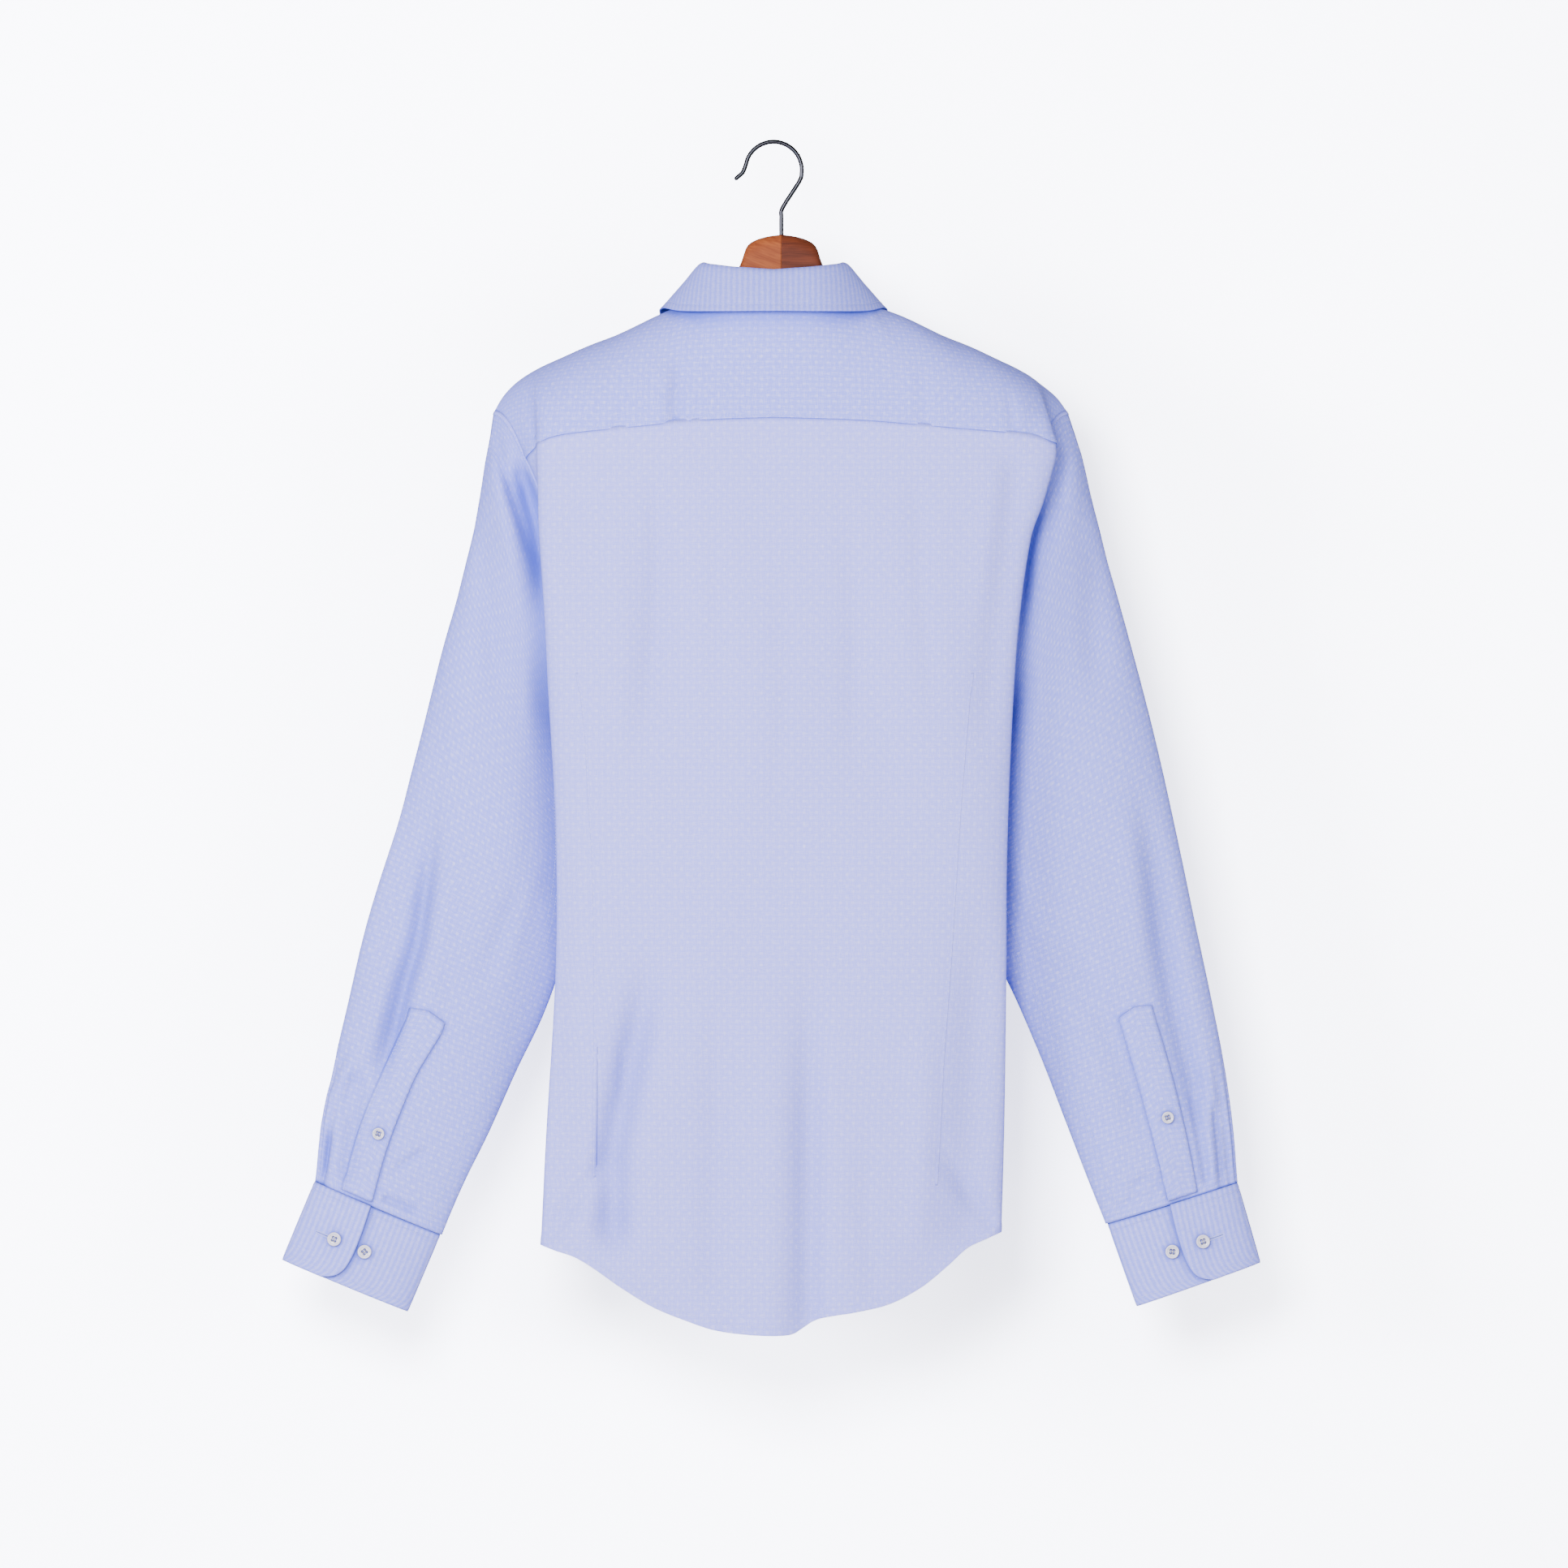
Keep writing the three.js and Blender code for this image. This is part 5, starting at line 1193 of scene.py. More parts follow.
on_cloth = CLOTH_THICKNESS / 2 + 0.05
on_trim = TRIM_LIFT + 0.45
FACES_FLAP = FACES_FRONT + [0, 0, 1]
ARMHOLE_MIDDLE_X, ARMHOLE_MIDDLE_Z = 195, -310
body_lines, sleeve_lines, edge_lines = [], [], []
whole = np.linspace(0, END, 60)
for side in (left, right):
    for skin, on_back, facing in ((back_point, True, FACES_BACK), (front_point, False, FACES_FRONT)):
        hem_row = HEM_WIDTH * LOW / (ARMPIT_Z - hem_z(side, whole, on_back))
        body_lines.append(line_on(side, skin, whole, hem_row, facing, on_cloth - 0.05))
    body_lines.append(line_on(side, yoke_point, ends(0, END), ends(0.012, 0.012), FACES_BACK, on_cloth + 0.3))
    body_lines.append(line_on(side, flap_point, ends(NECK, END), ends(0.95, 0.95), FACES_FLAP, on_cloth))
    side.round_armhole = away_from(side.sign * ARMHOLE_MIDDLE_X, ARMHOLE_MID_Y, ARMHOLE_MIDDLE_Z)
    for step in (0.07, 0.2):
        around = ends(-176, 176), ends(step, step)
        sleeve_lines.append(line_on(side, sleeve_by_turn, *around, side.round_armhole, on_cloth))
    for turn in (139, 144):
        along = ends(turn, turn), ends(0.6, 10.9)
        inner_back = np.array([-0.3 * side.sign, 1, 0])
        sleeve_lines.append(line_on(side, sleeve_by_turn, *along, inner_back, on_cloth))
    strip_edges = [(ends(share, share), ends(0.03, 1)) for share in (0.09, 0.91)]
    strip_bars = [(ends(0.09, 0.91), ends(down, down)) for down in (0.175, 0.205)]
    for line in strip_edges + strip_bars:
        edge_lines.append(line_on(side, placket_point, *line, FACES_BACK, on_trim))
for column in (-0.7, 0.41):
    upright = ends(column, column), ends(0.02, TOP - 0.1)
    edge_lines.append(line_on(left, front_point, *upright, FACES_FRONT, on_trim))
body_stitches = sewn("stitches_body", body_lines)
sewn("stitches_sleeves", sleeve_lines)
sewn("stitches_plackets", edge_lines)

# %% [markdown]
# ## Laps and darts
#
# Where one edge is sewn over another, three or four layers lie on each other on one side of the seam.
# The cloth rises to the edge and drops off it, and the light picks that out. A dart is the same: a wedge
# of the back is folded in and pressed to one side. Each lap is a narrow ramp laid along its seam.

# %% Laps of the seams
LAP_PROFILE = table("across up", [[-3.2, -0.15], [-1.6, 0.22], [-0.5, 0.5], [0, 0.5], [0.12, -0.1]])
LAP_THICKNESS, DART_HEIGHT, YOKE_HEIGHT, ARMHOLE_HEIGHT, FLAP_HEIGHT = 0.2, 0.42, 0.25, 1.2, 0.7
DARTS = {
    "left": [(150, -402), (143, -454), (141, -498), (138, -542), (136.5, -622), (137, -789)],
    "right": [
        (-152, -402), (-148, -440), (-143, -500), (-139, -564), (-134, -640), (-129.5, -700), (-124.6, -795),
    ],
}


def lap(side, skin, u, v, outward, lift, height):
    """The profile drawn along a line on a skin, with its drop on the side away from the middle."""
    point, along, normal = line_on(side, skin, u, v, outward, lift, pitch=2.0)
    across = side.sign * np.cross(along, normal)
    profile, rise = LAP_PROFILE["across"], LAP_PROFILE["up"]
    grid = point[:, None] + profile[:, None] * across[:, None] + height * rise[:, None] * normal[:, None]
    return patch(grid, arc(point[None], 1).T, profile, normal[:, None])


def look_up(keys, values, wanted):
    """For each line of rising keys, the value at the wanted key, on straight lines between the values."""
    after = np.clip(np.sum(keys < wanted[:, None], axis=1), 1, len(values) - 1)
    line = np.arange(len(keys))
    low, high = keys[line, after - 1], keys[line, after]
    share = np.clip((wanted - low) / (high - low), 0, 1)
    return mix(values[after - 1], values[after], share)


def back_at(side, x, z):
    """The back's column and row under the picture's x and z, closing in on them in four rounds."""
    columns = np.linspace(0, FOLD, 60)
    row = np.interp(z, [-850, ARMPIT_Z, -215], [0.4, LOW, TOP - 0.3])
    for _ in range(4):
        reach = back_form(side, *np.broadcast_arrays(columns, row[:, None]))[..., 0]
        column = look_up(reach, columns, side.sign * x)
        row = row + (z - back_form(side, column, row)[:, 2]) / ROW_HEIGHT
    return column, row


lap_patches = []
for side in (left, right):
    dart = back_at(side, *np.array(DARTS[side.name], float).T)
    yoke_edge = ends(END, 0), ends(-0.006, -0.006)
    armhole = ends(-178, 178), ends(0.05, 0.05)
    flap_edge = ends(NECK, END), ends(0.99, 0.99)
    lap_patches += [
        lap(side, back_point, *dart, FACES_BACK, 0.12, DART_HEIGHT),
        lap(side, yoke_point, *yoke_edge, FACES_BACK, 0.45, YOKE_HEIGHT),
        lap(side, sleeve_by_turn, *armhole, side.round_armhole, 0.35, ARMHOLE_HEIGHT),
        lap(side, flap_point, *flap_edge, FACES_FLAP, 0.4, FLAP_HEIGHT),
    ]
laps = cloth("seam_laps", lap_patches, LAP_THICKNESS, "cloth")
laps.data.materials.append(COTTON)

# %% Stitches of the collar and the cuffs
CUFF_MIDDLE_X, CUFF_MIDDLE_Z = 315, -842


def leaf_skin(side, step, back_from_edge):
    """The leaf by the distance from its edge, in millimetres."""
    rows = np.linspace(3.5, 6, 40)
    grid_step, grid_row = np.meshgrid(np.atleast_1d(step), rows)
    from_edge = arc(leaf_point(side, grid_step, grid_row)[::-1], 0)[::-1]
    return leaf_point(side, step, look_up(-from_edge.T, rows, -back_from_edge))


leaf_front = LEAF_END_STEP - 0.12
BAND_LINES = [
    (leaf_skin, ends(0, leaf_front), ends(6, 6), 0.66),
    (leaf_skin, ends(leaf_front, leaf_front), ends(6, 34), 0.7),
    (stand_point, ends(0, LAP_STEP - 0.3), ends(0.1, 0.1), 0.7),
]
CUFF_LINES = [
    (ends(0.02, 0.975), ends(0.085, 0.085)),
    (ends(0.02, 0.975), ends(0.915, 0.915)),
    (ends(0.975, 0.975), ends(0.085, 0.915)),
]
band_lines = []
for side in (left, right):
    for skin, steps, away, lift in BAND_LINES:
        band_lines.append(line_on(side, skin, steps, away, from_neck, lift))
    cuff_out = away_from(side.sign * CUFF_MIDDLE_X, CUFF_MID_Y, CUFF_MIDDLE_Z)
    for shares, downs in CUFF_LINES:
        band_lines.append(line_on(side, cuff_point, shares, downs, cuff_out, 0.9))
sewn("stitches_bands", band_lines)

# %% [markdown]
# ## Buttons
#
# The buttons are turned from shell-like plastic: a dished disc with a raised, rounded rim and four holes.
# The disc is a round grid, its height a curve over the radius, less four smooth pits for the holes. Two
# threads join the holes. Beside the outer button of each cuff the end of its buttonhole shows.

# %% The pearly plastic
PIT_SHADE_REACH = 0.0025


def pearl_material():
    """Pearly plastic: a clouded white, a tint that turns darker mauve where it turns away, painted sheen and
    shade, and painted shade near black down in the holes.
    """
    made, shader, add, _, link = material("Pearl")
    cloud = add("ShaderNodeTexNoise")
    cloud.inputs["Scale"].default_value = 260
    link(add("ShaderNodeTexCoord").outputs["Object"], cloud.inputs["Vector"])
    shades = add("ShaderNodeMix", data_type="RGBA")
    shades.inputs[6].default_value = (0.66, 0.63, 0.68, 1)
    shades.inputs[7].default_value = (0.84, 0.79, 0.80, 1)
    link(cloud.outputs[0], shades.inputs["Factor"])
    # Painted sheen and shade: the tint moves to a darker mauve where the surface turns from the view.
    turned = add("ShaderNodeMix", data_type="RGBA")
    turned.inputs[7].default_value = (0.42, 0.34, 0.40, 1)
    link(add("ShaderNodeLayerWeight").outputs["Facing"], turned.inputs["Factor"])
    link(shades.outputs[2], turned.inputs[6])
    # Painted shade: near black down in the pits of the holes, where the occlusion node finds them.
    sunk = add("ShaderNodeAmbientOcclusion", samples=4)
    sunk.inputs["Distance"].default_value = PIT_SHADE_REACH
    shaded = add("ShaderNodeMix", data_type="RGBA")
    shaded.inputs[6].default_value = (0.02, 0.02, 0.04, 1)
    link(sunk.outputs["AO"], shaded.inputs["Factor"])
    link(turned.outputs[2], shaded.inputs[7])
    link(shaded.outputs[2], shader.inputs["Base Color"])
    shader.inputs["Roughness"].default_value = 0.22
    shader.inputs["Coat Weight"].default_value = 0.4
    shader.inputs["Coat Roughness"].default_value = 0.08
    return made


PEARL = pearl_material()

# %% Buttons
BUTTON_PROFILE = table("out up", [
    [0.66, 0], [0.86, 0.06], [0.97, 0.22], [1.0, 0.44], [0.985, 0.7], [0.94, 0.9],
    [0.87, 1.0], [0.8, 0.97], [0.72, 0.82], [0.64, 0.71], [0.56, 0.66],
])
BUTTON_HEIGHT, BUTTON_ROUND, DISH_RINGS, DISH_OUT, DISH_UP = 2.4, 48, 16, 0.54, 0.66
HOLE_PLACE, HOLE_RADIUS, HOLE_DEPTH, HOLE_EDGE = 0.21, 0.85, 1.9, 8
THREAD_UP, HOLE_THREAD_LENGTH, HOLE_THREAD_RADIUS = 0.62, 3.2, 0.26


def button_points(radius, twist):
    """Rings of points: height(r), less depth / (1 + (d / hole)^8) for each hole at distance d."""
    out = np.concatenate([BUTTON_PROFILE["out"], np.linspace(DISH_OUT, 0, DISH_RINGS)]) * radius
    up = np.concatenate([BUTTON_PROFILE["up"], np.full(DISH_RINGS, DISH_UP)]) * BUTTON_HEIGHT
    a = np.arange(BUTTON_ROUND) * 2 * np.pi / BUTTON_ROUND
    x, y = out[:, None] * np.cos(a), out[:, None] * np.sin(a)
    height = up[:, None] + 0 * x
    in_dish = (out <= DISH_OUT * radius)[:, None]
    for hole in range(4):
        angle = twist + (hole + 0.5) * np.pi / 2
        centre = np.sqrt(2) * HOLE_PLACE * radius * np.array([np.cos(angle), np.sin(angle)])
        away = np.hypot(x - centre[0], y - centre[1])
        height = height - HOLE_DEPTH / (1 + (away / HOLE_RADIUS) ** HOLE_EDGE) * in_dish
    return stack(x, y, height)


def axes_at(normal):
    """Three directions: one near upright, one level across it, and the normal."""
    across = unit(np.cross([0.0, 0.0, 1.0], normal))
    return np.stack([np.cross(normal, across), across, normal])


def button(name, side, skin, place, outward, lift, diameter, twist):
    """A button at a place (u, v) of a skin, with the lines of the two threads through its holes."""
    u, v = np.array(place, float)[:, None]
    point, normal = (found[0] for found in on_skin(side, skin, u, v, outward))
    axes = axes_at(normal)
    grid = button_points(diameter / 2, twist)
    points = point + normal * lift + grid @ axes
    ids = np.arange(grid.shape[0] * grid.shape[1]).reshape(grid.shape[:2])
    ahead = np.roll(ids, -1, axis=1)
    faces = np.stack([ids[:-1], ahead[:-1], ahead[1:], ids[1:]], -1).reshape(-1, 4)
    obj = new_object(f"shell_{name}", new_mesh(name, points.reshape(-1, 3), faces), "button", name)
    obj.data.materials.append(PEARL)
    along = np.cos(twist) * axes[0] + np.sin(twist) * axes[1]
    beside = HOLE_PLACE * diameter / 2 * np.cross(normal, along)
    middle = point + normal * (lift + THREAD_UP * BUTTON_HEIGHT)
    return np.stack([middle - beside, middle + beside]), np.stack([along, along]), np.stack([normal, normal])


ON_PLACKET, ON_BAND = 1.7, 1.15
FRONT_BUTTON, CUFF_BUTTON, SLEEVE_BUTTON = 11, 10.8, 9.4
FRONT_BUTTON_ROWS, FRONT_BUTTON_COLUMN, CUFF_BUTTON_DOWN = (18.63, 16.63, 13, 10.49, 7.98, 5.47), 0.02, 0.53
CUFF_BUTTONS = ((left, 1, 426, 0.35), (left, 2, 94, 0.9), (right, 1, 435, -0.3), (right, 2, 103, 0.1))
SLEEVE_BUTTONS = ((left, 9.75, 76), (right, 9.5, 79))
free_turn = read(CUFF_FREE_END, "down", np.array(0.5), "turn")


def cuff_share(side, turn):
    """How far along the cuff's strip a turn lies."""
    return (turn - CUFF_UNDER_TURN) / (free_turn + CUFF_REACH[side.name] - CUFF_UNDER_TURN)


sewn_through = []
for k, row in enumerate(FRONT_BUTTON_ROWS):
    name, place, twist = f"button_front_{k + 1}", (FRONT_BUTTON_COLUMN, row), 0.2 * k
    sewn_through.append(button(name, left, front_point, place, FACES_FRONT, ON_PLACKET, FRONT_BUTTON, twist))
collar_place = (7.02, 0.5)
sewn_through.append(button(
    "button_collar", left, stand_point, collar_place, FACES_FRONT, ON_BAND, FRONT_BUTTON, 0.5,
))
for side, number, turn, twist in CUFF_BUTTONS:
    name, place = f"button_cuff_{side.name}_{number}", (cuff_share(side, turn), CUFF_BUTTON_DOWN)
    sewn_through.append(button(name, side, cuff_point, place, FACES_BACK, ON_BAND, CUFF_BUTTON, twist))
for side, step, turn in SLEEVE_BUTTONS:
    name, place, twist = f"button_placket_{side.name}", (step, turn), 0.3 * side.sign
    sewn_through.append(button(name, side, sleeve_point, place, FACES_BACK, ON_PLACKET, SLEEVE_BUTTON, twist))
print(f"buttons: {len(sewn_through)}")
sewn("threads_of_buttons", sewn_through, length=HOLE_THREAD_LENGTH, radius=HOLE_THREAD_RADIUS)

# %% Buttonholes
HOLE_STITCH_PITCH, HOLE_STITCH_LENGTH, SLIT_PITCH, SLIT_LENGTH, SLIT_SINK = 0.42, 1.3, 0.7, 0.9, 0.1
CUFF_HOLES = ((left, 406, 426), (right, 415, 435))
hole_lines, slit_lines = [], []


def buttonhole(side, skin, u, v, outward, lift):
    """A slit along a line on a skin, with close stitches across it on both sides."""
    point, along, normal = line_on(side, skin, u, v, outward, lift, pitch=HOLE_STITCH_PITCH)
    across = np.cross(along, normal)
    for hand in (-1, 1):
        hole_lines.append((point + hand * 0.85 * across, across, normal))
    slit_lines.append(line_on(side, skin, u, v, outward, lift - SLIT_SINK, pitch=SLIT_PITCH))


for side, *turns in CUFF_HOLES:
    shares = ends(*(cuff_share(side, turn) for turn in turns))
    buttonhole(side, cuff_point, shares, ends(CUFF_BUTTON_DOWN, CUFF_BUTTON_DOWN), FACES_BACK, 0.98)
for row in FRONT_BUTTON_ROWS:
    column = ends(FRONT_BUTTON_COLUMN, FRONT_BUTTON_COLUMN)
    buttonhole(left, front_point, column, ends(row - 0.2, row + 0.2), FACES_FRONT, TRIM_LIFT + 0.42)
sewn("buttonhole_stitches", hole_lines, length=HOLE_STITCH_LENGTH)
slits = sewn("buttonhole_slits", slit_lines, length=SLIT_LENGTH)
slits.data.materials[0] = plain_material("Slit shade", (0.05, 0.06, 0.14), 0.9)

# %% [markdown]
# ## Hanger
#
# Two pieces of beech, shaped like shoulders, meet under the hook. Their grain runs differently, and one
# half is lighter than the other. The hook is one bent wire of chromed steel.

# %% Hanger arms
STEM_X, WOOD_TOP_Z, ARM_CLEARANCE, ARM_SQUARENESS = -6, -71, 2.9, 0.72
ARM_REACH, ARM_MIDDLE_REACH, ARM_FULL_HEIGHT, ARM_TIP = 191, 60, 24, 5
ARM_HEAD = [
    [0, -1.8, 47, 18, 0], [12, 0, 46, 18, 0], [22, 3.6, 43, 18, 0], [27, 8.5, 40, 18, 0],
    [31, 20, 36, 18, 0.5], [40, 37, 31, 18, 0.5], [49, 49, 29, 18, 1], [58, 55, 28, 18, 1],
]
ARM_OUT = [
    [76, 28, 18], [100, 28, 19], [130, 27, 20], [155, 26, 21], [175, 24, 21], [186, 20, 19],
    [ARM_REACH, 12, 12],
]


def arm_sections(side):
    """The head's own rows, then rows that hang under the shoulder line, lower where they are thin."""
    rows = [[reach, WOOD_TOP_Z - drop, height, depth, y] for reach, drop, height, depth, y in ARM_HEAD]
    for reach, height, depth in ARM_OUT:
        x = np.array(abs(STEM_X + side.sign * reach))
        below = ARM_CLEARANCE + max(ARM_FULL_HEIGHT - height, 0) / 2
        top = float(read(RIDGE, side.name, x, "z")) - below
        rows.append([reach, top, height, depth, float(read(RIDGE, side.name, x, "y"))])
    return table("reach top height depth y", rows)


def closed_mesh(name, grid, middle, digits=2):
    """A closed mesh from a grid whose lines run round a middle, with its equal points joined."""
    form = patch(grid, 0, 0, grid - middle, wrap=True)
    points = form.points.reshape(-1, 3)
    _, kept, joined = np.unique(np.round(points, digits), axis=0, return_index=True, return_inverse=True)
    return new_mesh(name, points[kept], joined.reshape(-1)[quads_of(form.points, form.normal, 0)])


def arm(side, finish, slot):
    """Rounded-square sections, |cos|^n and |sin|^n, along the shoulder line, closed at both ends."""
    sections = arm_sections(side)
    reach = np.concatenate([
        np.linspace(0, ARM_MIDDLE_REACH, 60), np.linspace(ARM_MIDDLE_REACH, ARM_REACH, 66)[1:],
    ])
    columns = ("top", "height", "depth", "y")
    top, height, depth, y = (read(sections, "reach", reach, name)[:, None] for name in columns)
    a = np.linspace(0, 2 * np.pi, 41)
    across = np.sign(np.cos(a)) * np.abs(np.cos(a)) ** ARM_SQUARENESS
    upward = np.sign(np.sin(a)) * np.abs(np.sin(a)) ** ARM_SQUARENESS
    x = STEM_X + side.sign * reach[:, None]
    grid = stack(x + 0 * a, y + across * depth / 2, top - height / 2 + upward * height / 2)
    centre = grid[:, :-1].mean(axis=1, keepdims=True)
    shrink = np.array([0, 0.5, 0.8, 0.95])[:, None, None]
    start = centre[:1] + (grid[:1] - centre[:1]) * shrink
    beyond = np.linspace(0.1, 1, 8)
    tip = centre[-1:] + (grid[-1:] - centre[-1:]) * np.sqrt(1 - beyond**2)[:, None, None]
    tip[..., 0] += side.sign * ARM_TIP * beyond[:, None]
    grid = np.concatenate([start, grid, tip])
    name = f"hanger_arm_{side.name}"
    mesh = closed_mesh(name, grid, grid[:, :-1].mean(axis=1, keepdims=True))
    obj = new_object(f"wood_{side.name}", mesh, slot, name)
    obj.data.materials.append(finish)
    print(f"{obj.name}: {len(mesh.polygons)} faces, {ARM_REACH + ARM_TIP} mm long")
    return obj


def wood_material(name, pale, dark, slant):
    """Fine fibres: noise drawn out along the grain, which is turned by slant, over broader bands."""
    made, shader, add, calc, link = material(name)
    place = add("ShaderNodeMapping")
    place.inputs["Rotation"].default_value = (0, slant, 0)
    link(add("ShaderNodeTexCoord").outputs["Object"], place.inputs["Vector"])
    parts = []
    for stretch, detail in (((60, 700, 900), 4), ((14, 120, 170), 2)):
        noise = add("ShaderNodeTexNoise")
        noise.inputs["Scale"].default_value = 1
        noise.inputs["Detail"].default_value = detail
        link(calc("MULTIPLY", place.outputs[0], stretch, kind="ShaderNodeVectorMath"), noise.inputs["Vector"])
        parts.append(noise.outputs[0])
    grain = calc("ADD", calc("MULTIPLY", parts[0], 0.55), calc("MULTIPLY", parts[1], 0.45))
    ramp = add("ShaderNodeMapRange")
    ramp.inputs["From Min"].default_value = 0.36
    ramp.inputs["From Max"].default_value = 0.64
    link(grain, ramp.inputs["Value"])
    shade = add("ShaderNodeMix", data_type="RGBA")
    shade.inputs[6].default_value = (*dark, 1)
    shade.inputs[7].default_value = (*pale, 1)
    link(ramp.outputs[0], shade.inputs["Factor"])
    link(shade.outputs[2], shader.inputs["Base Color"])
    bump = add("ShaderNodeBump")
    bump.inputs["Strength"].default_value = 0.15
    bump.inputs["Distance"].default_value = 0.0003
    link(grain, bump.inputs["Height"])
    link(bump.outputs[0], shader.inputs["Normal"])
    shader.inputs["Roughness"].default_value = 0.6
    shader.inputs["Specular IOR Level"].default_value = 0.15
    return made


PALE_BEECH = wood_material("Beech, slanting grain", (0.30, 0.075, 0.018), (0.17, 0.034, 0.009), 0.35)
DARK_BEECH = wood_material("Beech, level grain", (0.13, 0.027, 0.008), (0.06, 0.012, 0.004), 0.0)
arms = [arm(left, PALE_BEECH, "wood_light"), arm(right, DARK_BEECH, "wood_dark")]

# %% Hook
WIRE_RADIUS, HOOK_RADIUS, WIRE_RINGS, CAP_RINGS = 1.7, 21.6, 260, 6
ARC_CENTRE_Z = WIRE_RADIUS - HOOK_RADIUS
arc_angles = np.radians(np.arange(-22, 171, 16))
hook_route = np.concatenate([
    [[STEM_X, -90], [STEM_X, -72], [STEM_X, -56], [-6.6, -49.5]],
    np.stack([-HOOK_RADIUS * np.cos(arc_angles), ARC_CENTRE_Z + HOOK_RADIUS * np.sin(arc_angles)], -1),
    [[23.4, -21.5], [28.2, -26]],
])
gaps = np.linalg.norm(np.diff(hook_route, axis=0), axis=1) ** 0.5
run = np.concatenate([[0], np.cumsum(gaps)])
route = table("run x z", np.column_stack([run, hook_route]))
at = np.linspace(0, run[-1], WIRE_RINGS)
path = stack(read(route, "run", at, "x"), 0, read(route, "run", at, "z"))
along = unit(np.gradient(path, axis=0))
beside = np.cross(along, [0, 1.0, 0])
cap = np.linspace(0, 1, CAP_RINGS + 1)[1:]
path = np.concatenate([path, path[-1] + along[-1] * 1.2 * WIRE_RADIUS * cap[:, None]])
beside = np.concatenate([beside, np.repeat(beside[-1:], CAP_RINGS, axis=0)])
radius = np.concatenate([np.ones(WIRE_RINGS), np.sqrt(np.maximum(1 - cap**2, 0.0004))]) * WIRE_RADIUS
a = np.linspace(0, 2 * np.pi, 21)[:, None]
ring = np.cos(a) * beside[:, None] + np.sin(a) * np.array([0, 1, 0])
hook_grid = path[:, None] + radius[:, None, None] * ring
hook_grid[:, -1] = hook_grid[:, 0]
hook_mesh = closed_mesh("hook_wire", hook_grid, path[:, None], digits=3)
hook = new_object("hook_wire", hook_mesh, "chrome", "hook")
chrome, shader, *_ = material("Chromed steel")
# Painted reflection: the near-black base colour stands in for the dark surroundings that the chrome mirrors;
# the lamps still give it real highlights.
shader.inputs["Base Color"].default_value = (0.025, 0.025, 0.028, 1)
shader.inputs["Metallic"].default_value = 1
shader.inputs["Specular Tint"].default_value = (0.02, 0.02, 0.02, 1)
shader.inputs["Roughness"].default_value = 0.12
hook.data.materials.append(chrome)
print(f"hook_wire: {arc(path[None], 1)[0, -1]:.0f} mm of wire, {2 * WIRE_RADIUS} mm thick")

# %% [markdown]

# %% [markdown]
# ## Light, floor and camera
#
# The picture looks straight at the back of the shirt from far off, so the camera stands 8 m away behind
# a long lens. The light is soft: a key from the front, one from each side and a weak one behind. A paper
# wall hangs behind the shirt, bright to the camera, and takes its shadow. It stands clear of the cloth,
# beyond the reach of the occlusion node, so that the painted shade of the cloth doesn't darken near it.

# %% Floor and wall
def card(name, corners, finish):
    """A flat rectangle of the stage, from its four corners (m)."""
    mesh = bpy.data.meshes.new(name)
    mesh.from_pydata(corners, [], [(0, 1, 2, 3)])
    obj = bpy.data.objects.new(name, mesh)
    obj.data.materials.append(finish)
    bpy.context.scene.collection.objects.link(obj)
    return obj


FLOOR_Z, FLOOR_SIZE = -1.3, 8
card("floor", [
    (-FLOOR_SIZE, -FLOOR_SIZE, FLOOR_Z), (FLOOR_SIZE, -FLOOR_SIZE, FLOOR_Z),
    (FLOOR_SIZE, FLOOR_SIZE, FLOOR_Z), (-FLOOR_SIZE, FLOOR_SIZE, FLOOR_Z),
], plain_material("Pale floor", (0.86, 0.86, 0.87), 0.9))

WALL_Y, WALL_HALF, WALL_TOP = -0.128, 3, 1.8
WALL_LIT, WALL_SEEN, WALL_GLOW = 3.3, 1.1, 0.5


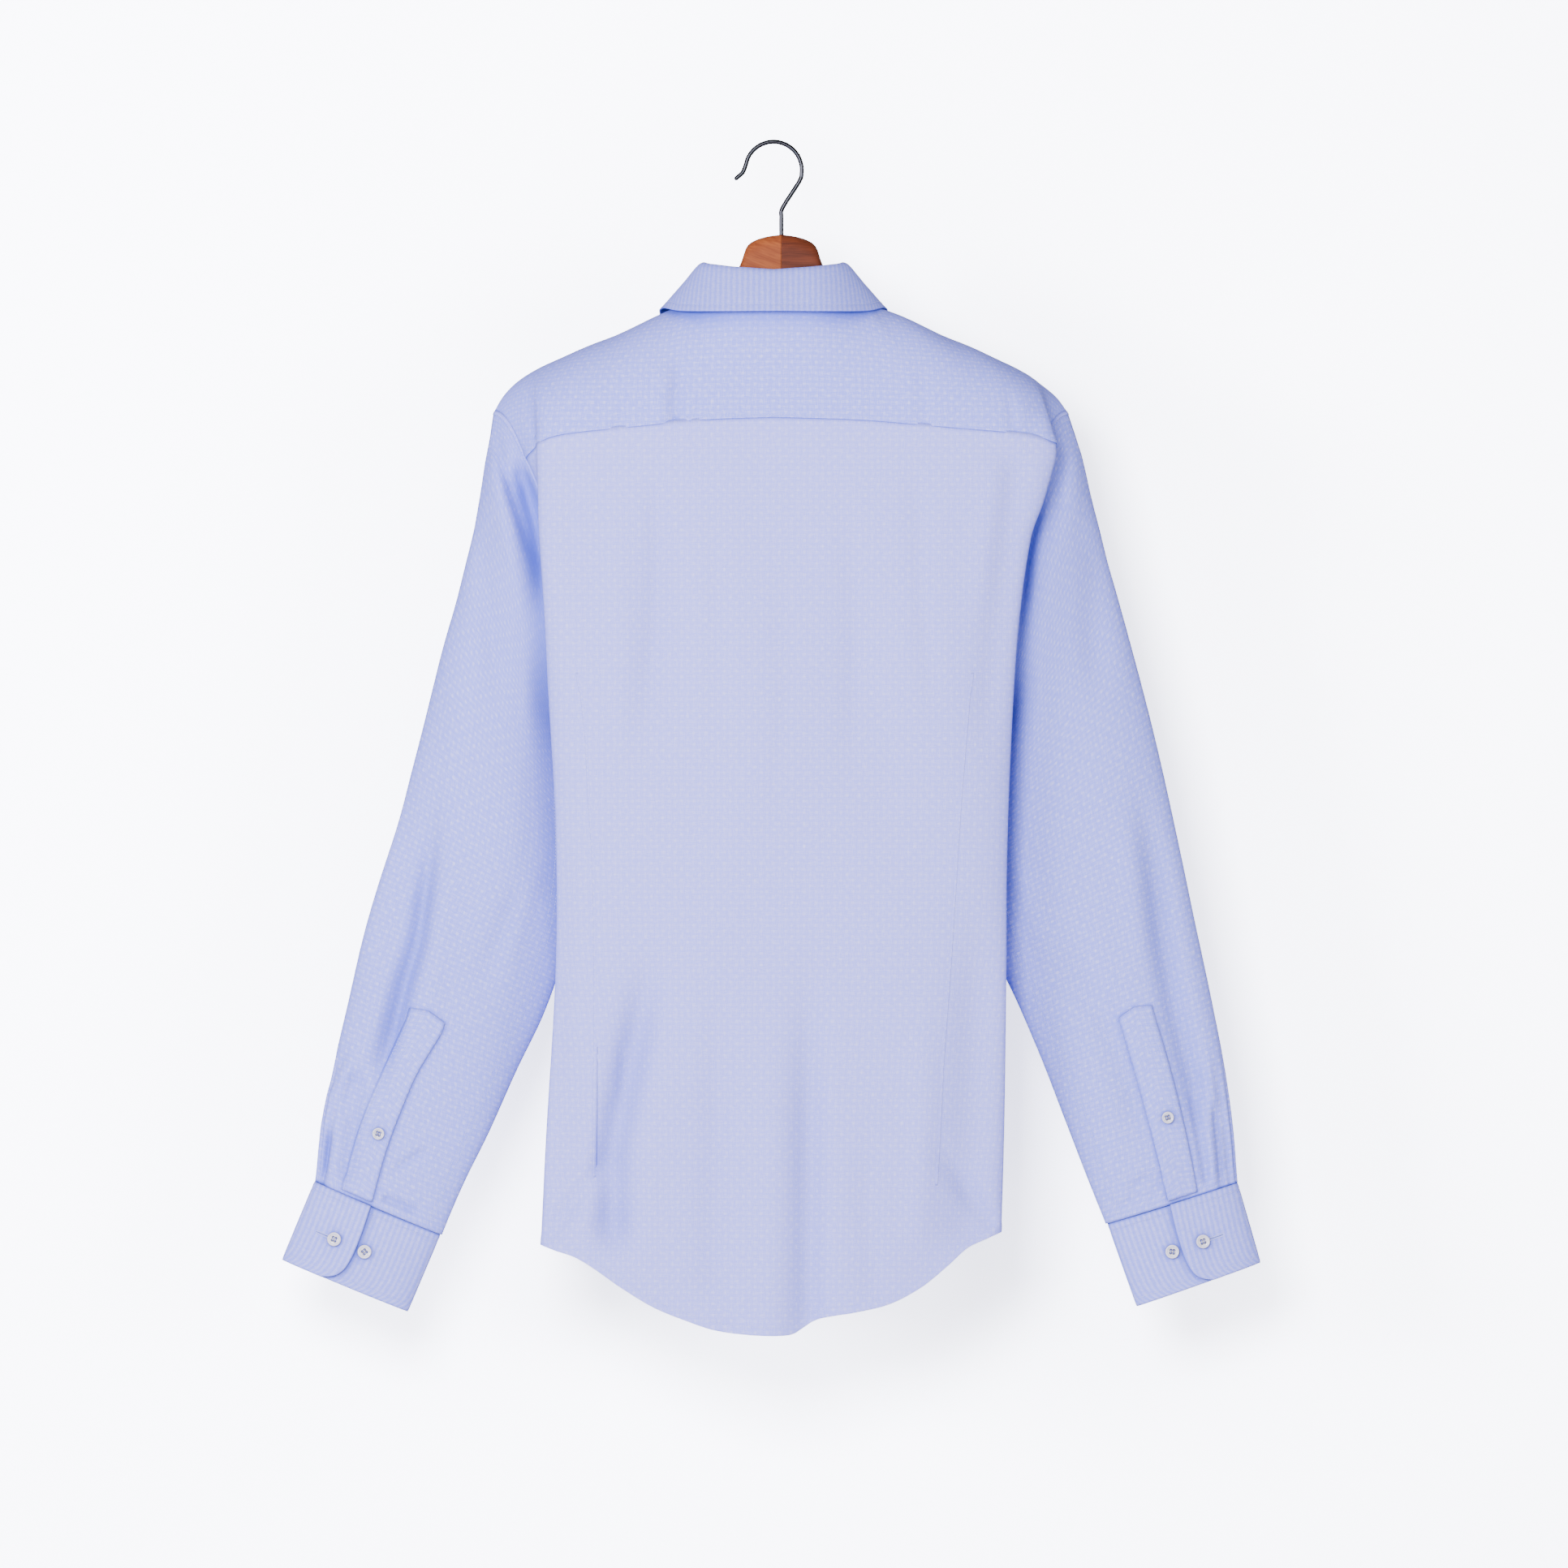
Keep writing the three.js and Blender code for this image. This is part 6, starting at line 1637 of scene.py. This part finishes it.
def wall_material():
    """A lit paper wall: bright to the camera, with the shirt's soft shadow on it, and clear from behind."""
    made = bpy.data.materials.new("Lit wall")
    made.use_nodes = True
    tree = made.node_tree
    tree.nodes.clear()
    add, calc, link = nodes_of(tree)
    rays = add("ShaderNodeLightPath")
    strength = add("ShaderNodeMix", data_type="FLOAT")
    strength.inputs[2].default_value = WALL_GLOW
    strength.inputs[3].default_value = WALL_SEEN
    link(rays.outputs["Is Camera Ray"], strength.inputs[0])
    glow = add("ShaderNodeEmission")
    link(strength.outputs[0], glow.inputs["Strength"])
    paper = add("ShaderNodeBsdfDiffuse")
    link(calc("MULTIPLY", rays.outputs["Is Camera Ray"], WALL_LIT), paper.inputs["Color"])
    lit = add("ShaderNodeAddShader")
    link(glow.outputs[0], lit.inputs[0])
    link(paper.outputs[0], lit.inputs[1])
    behind = add("ShaderNodeMixShader")
    link(add("ShaderNodeNewGeometry").outputs["Backfacing"], behind.inputs[0])
    link(lit.outputs[0], behind.inputs[1])
    link(add("ShaderNodeBsdfTransparent").outputs[0], behind.inputs[2])
    link(behind.outputs[0], add("ShaderNodeOutputMaterial").inputs[0])
    return made


card("wall", [
    (WALL_HALF, WALL_Y, FLOOR_Z), (-WALL_HALF, WALL_Y, FLOOR_Z),
    (-WALL_HALF, WALL_Y, WALL_TOP), (WALL_HALF, WALL_Y, WALL_TOP),
], wall_material())

# %% Lights
LIGHT_TINT, WORLD_STRENGTH = (0.865, 0.88, 1.0), 0.28
SHIRT_MIDDLE = (0, 0, -0.5)
world = bpy.data.worlds.new("Studio")
world.use_nodes = True
world.node_tree.nodes["Background"].inputs["Color"].default_value = (*LIGHT_TINT, 1)
world.node_tree.nodes["Background"].inputs["Strength"].default_value = WORLD_STRENGTH
bpy.context.scene.world = world


def area_light(name, place, size, power):
    """A square soft light at a place (m), aimed at the middle of the shirt; power in watts."""
    lamp = bpy.data.lights.new(name, "AREA")
    lamp.size, lamp.energy, lamp.color = size, power, LIGHT_TINT
    obj = bpy.data.objects.new(name, lamp)
    obj.location = place
    obj.rotation_mode = "QUATERNION"
    obj.rotation_quaternion = (Vector(SHIRT_MIDDLE) - Vector(place)).to_track_quat("-Z", "Y")
    bpy.context.scene.collection.objects.link(obj)
    print(f"{name}: {power} W, {np.linalg.norm(place):.1f} m away")


area_light("key", (0.5, 2.6, 0.15), 0.9, 122)
area_light("raking", (4.8, 3.2, 0.5), 1.8, 325)
area_light("far_side", (-4.6, 3.4, 0.2), 2.0, 170)
area_light("fill_front", (-1.8, -2.6, 0.8), 2.4, 60)

# %% Camera
CAMERA_DISTANCE, CAMERA_X, CAMERA_Z, FRAME_WIDTH, SENSOR_WIDTH = 8.0, -0.008, -0.489, 1.198, 36
lens = bpy.data.cameras.new("camera")
lens.sensor_width = SENSOR_WIDTH
lens.lens = SENSOR_WIDTH * CAMERA_DISTANCE / FRAME_WIDTH
camera = bpy.data.objects.new("camera", lens)
camera.location = (CAMERA_X, CAMERA_DISTANCE, CAMERA_Z)
camera.rotation_euler = (np.pi / 2, 0, np.pi)
bpy.context.scene.collection.objects.link(camera)
bpy.context.scene.camera = camera
